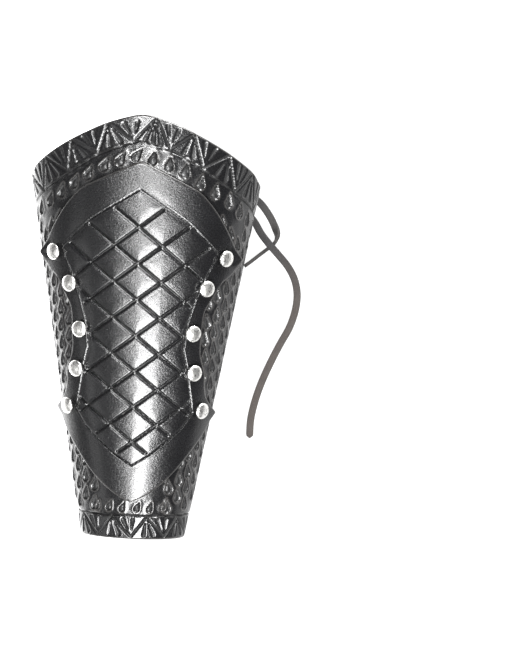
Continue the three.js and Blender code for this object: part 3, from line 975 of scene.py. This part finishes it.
def add_node(material, kind, links=None, **settings):
    """Adds a node to a material or world: settings name its properties, inputs its sockets' values,
    ramp a colour ramp's stops, and links the outputs that feed its sockets."""
    tree = material.node_tree
    node = tree.nodes.new(kind)
    values = settings.pop("inputs", {})
    ramp = settings.pop("ramp", None)
    for key, value in settings.items():
        setattr(node, key, value)
    for key, value in values.items():
        node.inputs[key].default_value = value
    if ramp:
        while len(node.color_ramp.elements) < len(ramp):
            node.color_ramp.elements.new(0.5)
        for element, (place, colour) in zip(node.color_ramp.elements, ramp):
            element.position = place
            element.color = colour
    for key, source in (links or {}).items():
        tree.links.new(source, node.inputs[key])
    return node


def grey(value):
    """Linear RGBA of a grey."""
    return (value, value, value, 1.0)


def times(factor, colour):
    """Linear RGBA of a hex colour, made lighter or darker."""
    return tuple(factor * c for c in linear(colour)[:3]) + (1.0,)


def dyed_leather(name, colour, worn_and_highlight, roughness, grain_size, relief, cut_dullness):
    """Vegetable-tanned cowhide, dyed black, dressed with resin and buffed.

    The eye gets a semi-gloss black whose highlights break up into the grain's speckle, a deeper black in
    the cuts, which is dye pooled there and painted shade, and thin pale lines on the raised rims, which are
    dye worn thin by handling and a painted highlight.
    The grain size is in millimetres, relief scales how far the grain stands out, and cut_dullness is
    how much rougher the floor of a cut is, where the buffing wheel doesn't reach.
    """
    material = start_material(name)
    flat = add_node(material, "ShaderNodeUVMap", uv_map="flat_hide")
    depth = add_node(material, "ShaderNodeAttribute", attribute_name="tool_depth")
    edge = add_node(material, "ShaderNodeAttribute", attribute_name="edge_distance")
    # Pores of about a millimetre, drawn a little coarser than real hide so that they show
    grain = add_node(material, "ShaderNodeTexNoise", {"Vector": flat.outputs["UV"]},
                     inputs={"Scale": 1 / (grain_size * MM), "Detail": 3.0, "Roughness": 0.62})
    pebble = add_node(material, "ShaderNodeTexVoronoi", {"Vector": flat.outputs["UV"]},
                      feature="SMOOTH_F1", inputs={"Scale": 1 / (1.5 * grain_size * MM), "Smoothness": 0.6})
    # Stretch and belly marks a few centimetres long
    cloud = add_node(material, "ShaderNodeTexNoise", {"Vector": flat.outputs["UV"]},
                     inputs={"Scale": 1 / (26 * MM), "Detail": 4.0, "Roughness": 0.55, "Distortion": 0.6})
    # Pooled dye and painted shade: the colour darkens with a cut's depth, to a quarter of the dye's in the
    # deepest cuts
    pooled_dye_and_shade = add_node(material, "ShaderNodeMapRange", {"Value": depth.outputs["Fac"]},
                      inputs={"From Min": -0.8, "From Max": -0.1, "To Min": 0.0, "To Max": 1.0})
    # Lighter colour on the raised rims, which is worn dye and a painted highlight, and near the edges, which
    # is worn dye
    rims = add_node(material, "ShaderNodeAttribute", attribute_name="raised_rim")
    raised = add_node(material, "ShaderNodeMapRange", {"Value": rims.outputs["Fac"]},
                      inputs={"From Min": 0.09, "From Max": 0.28, "To Min": 0.0, "To Max": 0.65})
    rubbed = add_node(material, "ShaderNodeMapRange", {"Value": edge.outputs["Fac"]},
                      inputs={"From Min": 0.1, "From Max": 1.3, "To Min": 0.75, "To Max": 0.0})
    wear_and_painted_highlight = add_node(material, "ShaderNodeMath", {0: raised.outputs[0], 1: rubbed.outputs[0]},
                    operation="MAXIMUM")
    broken = add_node(material, "ShaderNodeMath", {0: wear_and_painted_highlight.outputs[0], 1: cloud.outputs["Fac"]},
                      operation="MULTIPLY")
    tone = add_node(material, "ShaderNodeValToRGB", {"Fac": cloud.outputs["Fac"]},
                    ramp=[(0.3, linear(colour)), (0.72, times(1.5, colour))])
    # Mixes in the darker colour of the cuts, which is pooled dye and painted shade
    dark = add_node(material, "ShaderNodeMix", {0: pooled_dye_and_shade.outputs[0], 7: tone.outputs["Color"]},
                    data_type="RGBA", inputs={6: times(0.25, colour)})
    # Mixes in the lighter colour of worn dye, with the painted highlight on the rims
    final = add_node(material, "ShaderNodeMix", {0: broken.outputs[0], 6: dark.outputs[2]},
                     data_type="RGBA", inputs={7: linear(worn_and_highlight)})
    gloss = add_node(material, "ShaderNodeMapRange", {"Value": grain.outputs["Fac"]},
                     inputs={"From Min": 0.3, "From Max": 0.72,
                             "To Min": roughness - 0.07, "To Max": roughness + 0.1})
    dull = add_node(material, "ShaderNodeMapRange", {"Value": depth.outputs["Fac"]},
                    inputs={"From Min": -0.6, "From Max": -0.15, "To Min": cut_dullness, "To Max": 0.0})
    rough = add_node(material, "ShaderNodeMath", {0: gloss.outputs[0], 1: dull.outputs[0]}, operation="ADD",
                     use_clamp=True)
    # Flesh side and the inside of the holes: undressed, matt and browner
    side = add_node(material, "ShaderNodeAttribute", attribute_name="grain_side")
    sided = add_node(material, "ShaderNodeMix", {0: side.outputs["Fac"], 7: final.outputs[2]},
                     data_type="RGBA", inputs={6: linear("#262020")})
    matt = add_node(material, "ShaderNodeMix", {0: side.outputs["Fac"], 3: rough.outputs[0]},
                    data_type="FLOAT", inputs={2: 0.86})
    dressing = add_node(material, "ShaderNodeMath", {0: side.outputs["Fac"]},
                        operation="MULTIPLY", inputs={1: 0.18})
    creases = add_node(material, "ShaderNodeBump", {"Height": cloud.outputs["Fac"]},
                       inputs={"Strength": 0.35, "Distance": 1.2 * MM})
    pebbled = add_node(material, "ShaderNodeBump",
                       {"Height": pebble.outputs["Distance"], "Normal": creases.outputs[0]},
                       inputs={"Strength": 0.5, "Distance": 0.11 * relief * MM})
    grained = add_node(material, "ShaderNodeBump",
                       {"Height": grain.outputs["Fac"], "Normal": pebbled.outputs[0]},
                       inputs={"Strength": 0.8, "Distance": 0.17 * relief * MM})
    shader = add_node(material, "ShaderNodeBsdfPrincipled",
                      {"Base Color": sided.outputs[2], "Roughness": matt.outputs[0],
                       "Normal": grained.outputs[0], "Coat Weight": dressing.outputs[0]},
                      inputs={"IOR": 1.42, "Coat Roughness": 0.16})
    add_node(material, "ShaderNodeOutputMaterial", {"Surface": shader.outputs[0]})
    return material


def plated_nickel(name, colour):
    """Nickel plate on domed brass caps, tumbled and then handled: bright, with small dull dapples."""
    material = start_material(name)
    place = add_node(material, "ShaderNodeTexCoord")
    dapple = add_node(material, "ShaderNodeTexNoise", {"Vector": place.outputs["Object"]},
                      inputs={"Scale": 1 / (1.5 * MM), "Detail": 3.0, "Roughness": 0.6})
    scuff = add_node(material, "ShaderNodeTexNoise", {"Vector": place.outputs["Object"]},
                     inputs={"Scale": 1 / (0.5 * MM), "Detail": 2.0})
    spots = add_node(material, "ShaderNodeValToRGB", {"Fac": dapple.outputs["Fac"]},
                     ramp=[(0.34, linear("#8d8c8a")), (0.46, linear(colour))])
    rough = add_node(material, "ShaderNodeMapRange", {"Value": dapple.outputs["Fac"]},
                     inputs={"From Min": 0.35, "From Max": 0.6, "To Min": 0.42, "To Max": 0.27})
    dents = add_node(material, "ShaderNodeBump", {"Height": dapple.outputs["Fac"]},
                     inputs={"Strength": 0.5, "Distance": 0.3 * MM})
    fine = add_node(material, "ShaderNodeBump", {"Height": scuff.outputs["Fac"], "Normal": dents.outputs[0]},
                    inputs={"Strength": 0.25, "Distance": 0.05 * MM})
    shader = add_node(material, "ShaderNodeBsdfPrincipled",
                      {"Base Color": spots.outputs["Color"], "Roughness": rough.outputs[0],
                       "Normal": fine.outputs[0]},
                      inputs={"Metallic": 1.0})
    add_node(material, "ShaderNodeOutputMaterial", {"Surface": shader.outputs[0]})
    return material


def lace_suede(name, near, far):
    """Limp leather thong, dyed through: matt, fibrous along its length, darker along its first part and
    paler towards its tip.
    """
    material = start_material(name)
    flat = add_node(material, "ShaderNodeUVMap", uv_map="flat_lace")
    run = add_node(material, "ShaderNodeAttribute", attribute_name="run")
    stretch = add_node(material, "ShaderNodeMapping", {"Vector": flat.outputs["UV"]},
                       inputs={"Scale": (1.0, 0.22, 1.0)})
    fibre = add_node(material, "ShaderNodeTexNoise", {"Vector": stretch.outputs["Vector"]},
                     inputs={"Scale": 1 / (0.7 * MM), "Detail": 4.0, "Roughness": 0.65})
    patch = add_node(material, "ShaderNodeTexNoise", {"Vector": flat.outputs["UV"]},
                     inputs={"Scale": 1 / (9 * MM), "Detail": 3.0})
    # Darker along the first part of the run and paler past it: the colour follows only the run
    run_tone = add_node(material, "ShaderNodeValToRGB", {"Fac": run.outputs["Fac"]},
                    ramp=[(0.44, linear(near)), (0.62, linear(far))])
    shade = add_node(material, "ShaderNodeValToRGB", {"Fac": fibre.outputs["Fac"]},
                     ramp=[(0.3, grey(0.55)), (0.7, grey(1.25))])
    rubbed = add_node(material, "ShaderNodeMix", {6: run_tone.outputs["Color"], 7: shade.outputs["Color"]},
                      data_type="RGBA", blend_type="MULTIPLY", inputs={0: 0.8})
    rough = add_node(material, "ShaderNodeMapRange", {"Value": patch.outputs["Fac"]},
                     inputs={"To Min": 0.62, "To Max": 0.85})
    bump = add_node(material, "ShaderNodeBump", {"Height": fibre.outputs["Fac"]},
                    inputs={"Strength": 0.7, "Distance": 0.25 * MM})
    shader = add_node(material, "ShaderNodeBsdfPrincipled",
                      {"Base Color": rubbed.outputs[2], "Roughness": rough.outputs[0],
                       "Normal": bump.outputs[0]},
                      inputs={"Sheen Weight": 0.06, "Sheen Roughness": 0.5, "Specular IOR Level": 0.3})
    add_node(material, "ShaderNodeOutputMaterial", {"Surface": shader.outputs[0]})
    return material


def paper_sweep(name):
    """Matt white paper on a light table, whose own glow keeps every hard shadow off it."""
    material = start_material(name)
    # A brighter strip under the left edge and beside it gives that edge of the leather its pale line
    place = add_node(material, "ShaderNodeTexCoord")
    parts = add_node(material, "ShaderNodeSeparateXYZ", {"Vector": place.outputs["Object"]})
    rising = add_node(material, "ShaderNodeMapRange", {"Value": parts.outputs["X"]},
                      inputs={"From Min": -0.2, "From Max": -0.12, "To Min": 0.95, "To Max": 4.4})
    falling = add_node(material, "ShaderNodeMapRange", {"Value": parts.outputs["X"]},
                       inputs={"From Min": -0.035, "From Max": 0.0, "To Min": 4.4, "To Max": 0.93})
    glow = add_node(material, "ShaderNodeMath", {0: rising.outputs[0], 1: falling.outputs[0]},
                    operation="MINIMUM")
    shader = add_node(material, "ShaderNodeBsdfPrincipled", {"Emission Strength": glow.outputs[0]},
                      inputs={"Base Color": linear("#505050"), "Roughness": 0.9, "Specular IOR Level": 0.2,
                              "Emission Color": linear("#ffffff")})
    add_node(material, "ShaderNodeOutputMaterial", {"Surface": shader.outputs[0]})
    return material


def dim_studio(name):
    """Dim room around the table, a little lighter on the left, as a wall reflector makes it."""
    world = bpy.data.worlds.new(name)
    world.use_nodes = True
    world.node_tree.nodes.clear()
    place = add_node(world, "ShaderNodeTexCoord")
    parts = add_node(world, "ShaderNodeSeparateXYZ", {"Vector": place.outputs["Generated"]})
    light = add_node(world, "ShaderNodeMapRange", {"Value": parts.outputs["X"]},
                     inputs={"From Min": -1.0, "From Max": 1.0, "To Min": 0.17, "To Max": 0.05})
    glow = add_node(world, "ShaderNodeBackground", {"Strength": light.outputs[0]},
                    inputs={"Color": linear("#ffffff")})
    add_node(world, "ShaderNodeOutputWorld", {"Surface": glow.outputs[0]})
    return world


# Stage, in metres: each lamp's name, place, aim, width and length, with its power in watts
LAMPS = (
    ("strip_over_crown", (0.15, -0.65, 1.1), (0.0, -0.05, 0.06), 0.36, 0.85, 58.0),
    ("elbow_side_softbox", (0.5, 1.0, 0.42), (0.0, 0.0, 0.05), 0.6, 0.6, 50.0),
    ("card_over_elbow", (-0.06, 0.04, 1.1), (0.0, 0.11, 0.08), 0.16, 0.16, 9.0),
    ("left_softbox", (-1.3, -0.6, 0.9), (0.0, -0.05, 0.03), 0.5, 0.6, 2.2),
)
CAMERA_PLACE = (0.06689, 0.00622, 1.0)
CAMERA_TURN = 2.5
CAMERA_LENS = 95.93
FLOOR_DROP = 0.00005


# Settings
class GuardSizes(bpy.types.PropertyGroup):
    sleeve_thickness: bpy.props.FloatProperty(
        name="Sleeve thickness", description="Thickness of the sleeve's leather",
        default=2.8 * MM, min=1 * MM, max=4 * MM, precision=4, unit="LENGTH")
    plate_thickness: bpy.props.FloatProperty(
        name="Plate thickness", description="Thickness of the overlay plate's leather",
        default=2.4 * MM, min=1 * MM, max=4 * MM, precision=4, unit="LENGTH")
    cut_width: bpy.props.FloatProperty(
        name="Cut width", description="Width of the plate's carved lines",
        default=1.5 * MM, min=0.3 * MM, max=3 * MM, precision=4, unit="LENGTH")
    cut_depth: bpy.props.FloatProperty(
        name="Cut depth", description="Depth of the plate's carved lines and the sleeve's borders",
        default=0.9 * MM, min=0.1 * MM, max=1.6 * MM, precision=4, unit="LENGTH")
    stamp_depth: bpy.props.FloatProperty(
        name="Stamp depth", description="Depth of the drop stamps",
        default=1.0 * MM, min=0.1 * MM, max=1.6 * MM, precision=4, unit="LENGTH")
    diamond_pillow: bpy.props.FloatProperty(
        name="Diamond pillow", description="How far the diamonds swell between the lattice's cuts",
        default=0.38 * MM, min=0.0, max=2 * MM, precision=4, unit="LENGTH")
    cap_diameter: bpy.props.FloatProperty(
        name="Rivet cap", description="Diameter of the rivets' domed caps",
        default=9 * MM, min=4 * MM, max=14 * MM, precision=4, unit="LENGTH")
    cap_height: bpy.props.FloatProperty(
        name="Rivet height", description="Height of the caps, with their rims",
        default=2.3 * MM, min=1 * MM, max=5 * MM, precision=4, unit="LENGTH")
    lace_width: bpy.props.FloatProperty(
        name="Lace width", description="Width of the flat lace",
        default=4.2 * MM, min=2 * MM, max=8 * MM, precision=4, unit="LENGTH")
    lace_thickness: bpy.props.FloatProperty(
        name="Lace thickness", description="Thickness of the flat lace",
        default=2 * MM, min=1 * MM, max=3 * MM, precision=4, unit="LENGTH")


class GuardColours(bpy.types.PropertyGroup):
    leather: bpy.props.FloatVectorProperty(
        name="Leather", description="Dye of the sleeve and the plate",
        subtype="COLOR", size=3, min=0, max=1, default=linear("#09090a")[:3])
    # Colour of the worn edges, and of the raised rims, where it is worn dye and a painted highlight
    worn_and_highlight: bpy.props.FloatVectorProperty(
        name="Worn rims and painted highlight", description="Leather where handling has rubbed the dye thin, and a painted highlight on the raised rims",
        subtype="COLOR", size=3, min=0, max=1, default=linear("#504e4c")[:3])
    nickel: bpy.props.FloatVectorProperty(
        name="Rivets", description="Nickel plate of the rivets",
        subtype="COLOR", size=3, min=0, max=1, default=linear("#e6e5e2")[:3])
    lace: bpy.props.FloatVectorProperty(
        name="Lace", description="Dye of the lace near the guard",
        subtype="COLOR", size=3, min=0, max=1, default=linear("#0f0e0f")[:3])
    # Paler colours of the lace along the later part of its run: the colour follows only the run
    lace_paler_run: bpy.props.FloatVectorProperty(
        name="Paler lace", description="Paler colour along part of the back lace and the short end",
        subtype="COLOR", size=3, min=0, max=1, default=linear("#1a1817")[:3])
    lace_tip: bpy.props.FloatVectorProperty(
        name="Lace tip", description="Paler colour towards the lace's tip",
        subtype="COLOR", size=3, min=0, max=1, default=linear("#26211e")[:3])


def sizes():
    return bpy.context.scene.guard_sizes


def colours():
    return bpy.context.scene.guard_colours


def material_of(kind):
    """The finish of that name, made once and shared."""
    if kind in bpy.data.materials:
        return bpy.data.materials[kind]
    shades = colours()
    leather, worn_and_highlight = hex_of(shades.leather), hex_of(shades.worn_and_highlight)
    if kind == "tooled_veg_tan_leather":
        return dyed_leather(kind, leather, worn_and_highlight, roughness=0.27, grain_size=0.9, relief=0.5,
                            cut_dullness=0.4)
    if kind == "polished_veg_tan_leather":
        return dyed_leather(kind, leather, worn_and_highlight, roughness=0.28, grain_size=0.8, relief=1.0,
                            cut_dullness=0.05)
    if kind == "nickel_plated_brass":
        return plated_nickel(kind, hex_of(shades.nickel))
    # Darker near the guard and paler towards the tip: the colour follows only the lace's run
    if kind == "leather_thong_faded":
        return lace_suede(kind, hex_of(shades.lace), hex_of(shades.lace_tip))
    if kind == "leather_thong_dark":
        return lace_suede(kind, hex_of(shades.lace), hex_of(shades.lace_paler_run))
    return paper_sweep(kind)


def dress(piece, kind, slot_name, *nodes):
    """Gives a finished piece its material, its ride and the solids it stands for."""
    piece.data.materials.clear()
    piece.data.materials.append(material_of(kind))
    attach(piece, "root")
    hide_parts(*nodes)


class ARMGUARD_OT_stage(bpy.types.Operator):
    """Make the paper sweep, the soft lights and the camera"""
    bl_idname = "armguard.stage"
    bl_label = "Stage"

    def execute(self, context):
        deselect_all()
        bpy.ops.mesh.primitive_plane_add(size=8, location=(0, 0, -FLOOR_DROP))
        floor = context.active_object
        floor.name = floor.data.name = "paper_sweep"
        floor.data.materials.append(material_of("white_paper"))
        for name, place, aim, width, length, power in LAMPS:
            deselect_all()
            bpy.ops.object.light_add(type="AREA", location=place)
            lamp = context.active_object
            lamp.name = lamp.data.name = name
            lamp.data.shape = "RECTANGLE"
            lamp.data.size = width
            lamp.data.size_y = length
            lamp.data.energy = power
            back = (Vector(place) - Vector(aim)).normalized()
            right = Vector((0, 1, 0)).cross(back).normalized()
            lamp.rotation_euler = Matrix((right, back.cross(right), back)).transposed().to_euler()
        context.scene.world = dim_studio("dim_studio")
        context.scene.view_settings.view_transform = "Standard"
        deselect_all()
        bpy.ops.object.camera_add(location=CAMERA_PLACE, rotation=(0, 0, math.radians(CAMERA_TURN)))
        camera = context.active_object
        camera.name = camera.data.name = "overhead_camera"
        camera.data.lens = CAMERA_LENS
        camera.data.sensor_width = 36
        camera.data.clip_start = 0.01
        context.scene.camera = camera
        return {"FINISHED"}


class ARMGUARD_OT_loose_ends(bpy.types.Operator):
    """Lay the lace's two loose ends on the table"""
    bl_idname = "armguard.loose_ends"
    bl_label = "Loose lace ends"

    def execute(self, context):
        width, thickness = sizes().lace_width, sizes().lace_thickness
        upright = np.array([0, 0, 1.0])
        # The short end turns onto its edge in its bend, at this share of it, and lies so to its tip
        never, in_bend, turn_length = 2.0, 0.62, 0.14
        ends = (
            ("long_loose_end", LONG_END_ROUTE, "lace_end_long", "leather_thong_faded", never),
            ("short_loose_end", SHORT_END_ROUTE, "lace_end_short", "leather_thong_dark", in_bend),
        )
        for name, route, node, finish, turns_at in ends:
            path, length = route_curve(route, LACE_STEP * MM)
            flat = np.cross(upright, np.gradient(path, axis=0))
            flat /= np.linalg.norm(flat, axis=1, keepdims=True)
            turned = smooth((np.linspace(0, 1, len(path)) - turns_at) / turn_length)[:, None] * math.pi / 2
            flat = flat * np.cos(turned) + upright * np.sin(turned)
            path[:, 2] += np.sin(turned[:, 0]) * width / 2 + (np.cos(turned[:, 0]) - 1) * thickness / 2
            piece = sweep_lace(name, path, flat, width, thickness, round_end=True)
            dress(piece, finish, "lace_leather", node)
        return {"FINISHED"}


class ARMGUARD_OT_sleeve(bpy.types.Operator):
    """Cut, punch, tool and form the sleeve"""
    bl_idname = "armguard.sleeve"
    bl_label = "Tooled sleeve"

    def execute(self, context):
        thickness = sizes().sleeve_thickness / MM
        columns = edge_spacing(118, (0, 0.0022, 0.0048, 0.009, 0.015))
        rows = edge_spacing(94, (0, 0.0028, 0.0062, 0.0115, 0.019))
        blank = cut_blank("tooled_sleeve", sleeve_place, columns, rows, thickness)
        holes = [(across, along, POST_HOLE) for _, across, along in rivet_places()]
        for pair in range(HOLE_PAIRS):
            level = hole_level(pair)
            reach = float(half_girth(level)) - HOLE_MARGIN
            holes += [(-reach, level, LACE_HOLE), (reach, level, LACE_HOLE)]
        punch_holes(blank, holes, thickness)
        tooling = tool_sleeve(sizes().cut_depth / MM, sizes().stamp_depth / MM)
        # The second pass leaves out the part round the back, which would take the mesh past its limit
        refine_near_marks(blank, tooling, ((1.2, 200), (0.3, 84)))
        form_hide(blank, sleeve_place, tooling, thickness, lambda u, v: 0 * u, round_edge=1.0)
        shade_smooth(blank, 42)
        dress(blank, "tooled_veg_tan_leather", "tooled_leather", "leather_sleeve")
        return {"FINISHED"}


class ARMGUARD_OT_plate(bpy.types.Operator):
    """Cut, punch, carve and form the overlay plate"""
    bl_idname = "armguard.plate"
    bl_label = "Lattice plate"

    def execute(self, context):
        thickness = sizes().plate_thickness / MM
        columns = edge_spacing(66, (0, 0.006, 0.013, 0.022, 0.038))
        rows = edge_spacing(106, (0, 0.0032, 0.007, 0.012, 0.02))
        blank = cut_blank("lattice_plate", plate_place, columns, rows, thickness)
        holes = [(across, along, POST_HOLE) for _, across, along in rivet_places()]
        punch_holes(blank, holes, thickness)
        tooling = tool_plate(sizes().cut_width / MM, sizes().cut_depth / MM, sizes().diamond_pillow / MM)
        refine_near_marks(blank, tooling, ((2.2, 200), (0.7, 200)))

        def seat(across, along):
            return CONTACT_GAP + thickness + ear_rise(across, along)

        form_hide(blank, plate_place, tooling, thickness, seat, round_edge=0.9)
        shade_smooth(blank, 42)
        dress(blank, "polished_veg_tan_leather", "plate_leather", "overlay_plate")
        return {"FINISHED"}


class ARMGUARD_OT_rivets(bpy.types.Operator):
    """Set the ten rivets through the plate and the sleeve"""
    bl_idname = "armguard.rivets"
    bl_label = "Rivets"

    def execute(self, context):
        size = sizes()
        cap = size.cap_diameter / 2
        rim = 0.6 * MM
        post = 1.5 * MM
        tail = 3.5 * MM
        stack = size.plate_thickness + CONTACT_GAP * MM + size.sleeve_thickness
        tail_gap = 0.55 * MM
        # Setting the rivet flattens its dome a little
        dome_height = 0.86 * (size.cap_height - rim)
        deselect_all()
        bpy.ops.mesh.primitive_uv_sphere_add(segments=32, ring_count=20, radius=cap, location=(0, 0, 0))
        rivet = context.active_object
        bpy.ops.object.mode_set(mode="EDIT")
        bpy.ops.mesh.select_all(action="SELECT")
        bpy.ops.mesh.bisect(plane_co=(0, 0, 0), plane_no=(0, 0, 1), clear_inner=True)
        bpy.ops.mesh.select_all(action="SELECT")
        bpy.ops.transform.resize(value=(1, 1, dome_height / cap))
        bpy.ops.transform.translate(value=(0, 0, CONTACT_GAP * MM + rim))
        bpy.ops.mesh.select_all(action="DESELECT")
        bpy.ops.mesh.select_mode(type="EDGE")
        bpy.ops.mesh.select_non_manifold()
        # Down the rim, in under the cap, down the post, out over the tail and down round its edge
        rolled = 0.965
        steps = (
            (0.75 * rim, 1.0),
            (0.25 * rim, rolled),
            (0, post / (rolled * cap)),
            (CONTACT_GAP * MM + stack + tail_gap, 1.0),
            (0, tail / post),
            (0.25 * MM, 1.03),
            (0.95 * MM, 1.0),
            (0.1 * MM, 0.9),
        )
        for down, widen in steps:
            bpy.ops.mesh.extrude_region_move(TRANSFORM_OT_translate={"value": (0, 0, -down)})
            bpy.ops.transform.resize(value=(widen, widen, 1), center_override=(0, 0, 0))
        bpy.ops.mesh.edge_face_add()
        bpy.ops.mesh.select_all(action="SELECT")
        bpy.ops.mesh.normals_make_consistent(inside=False)
        bpy.ops.object.mode_set(mode="OBJECT")
        shade_smooth(rivet, 35)
        for name, across, along in rivet_places():
            seat = wall_point(across, along, CONTACT_GAP + size.plate_thickness / MM) * MM
            up = Vector(outward_at(np.array(across), np.array(along)))
            turn = up.to_track_quat("Z", "Y").to_matrix().to_4x4()
            copy = bpy.data.objects.new(name.replace("rivet", "domed_rivet"), rivet.data.copy())
            context.collection.objects.link(copy)
            copy.data.transform(Matrix.Translation(Vector(seat)) @ turn)
            dress(copy, "nickel_plated_brass", "nickel", name)
        bpy.data.objects.remove(rivet)
        return {"FINISHED"}


class ARMGUARD_OT_lacing(bpy.types.Operator):
    """Lace the back from the wrist to the elbow"""
    bl_idname = "armguard.lacing"
    bl_label = "Back lacing"

    def execute(self, context):
        path, sides = back_lace_path()
        piece = sweep_lace("crossed_back_lace", path * MM, sides, sizes().lace_width, sizes().lace_thickness)
        dress(piece, "leather_thong_dark", "lace_leather", "back_lacing")
        return {"FINISHED"}


class ARMGUARD_PT_panel(bpy.types.Panel):
    """Sizes, colours and pieces of the arm guard"""
    bl_label = "Arm guard"
    bl_idname = "ARMGUARD_PT_panel"
    bl_space_type = "VIEW_3D"
    bl_region_type = "UI"
    bl_category = "Arm guard"

    def draw(self, context):
        layout = self.layout
        for group in (context.scene.guard_sizes, context.scene.guard_colours):
            box = layout.box()
            for name in group.__annotations__:
                box.prop(group, name)
        for operator in OPERATORS:
            layout.operator(operator.bl_idname)


OPERATORS = (
    ARMGUARD_OT_stage,
    ARMGUARD_OT_loose_ends,
    ARMGUARD_OT_sleeve,
    ARMGUARD_OT_plate,
    ARMGUARD_OT_rivets,
    ARMGUARD_OT_lacing,
)
CLASSES = (GuardSizes, GuardColours) + OPERATORS + (ARMGUARD_PT_panel,)


def register():
    for each in CLASSES:
        bpy.utils.register_class(each)
    bpy.types.Scene.guard_sizes = bpy.props.PointerProperty(type=GuardSizes)
    bpy.types.Scene.guard_colours = bpy.props.PointerProperty(type=GuardColours)


def unregister():
    del bpy.types.Scene.guard_colours
    del bpy.types.Scene.guard_sizes
    for each in reversed(CLASSES):
        bpy.utils.unregister_class(each)


def main():
    register()
    bpy.ops.armguard.stage()
    bpy.ops.armguard.loose_ends()
    bpy.ops.armguard.sleeve()
    bpy.ops.armguard.plate()
    bpy.ops.armguard.rivets()
    bpy.ops.armguard.lacing()


if __name__ == "__main__":
    main()
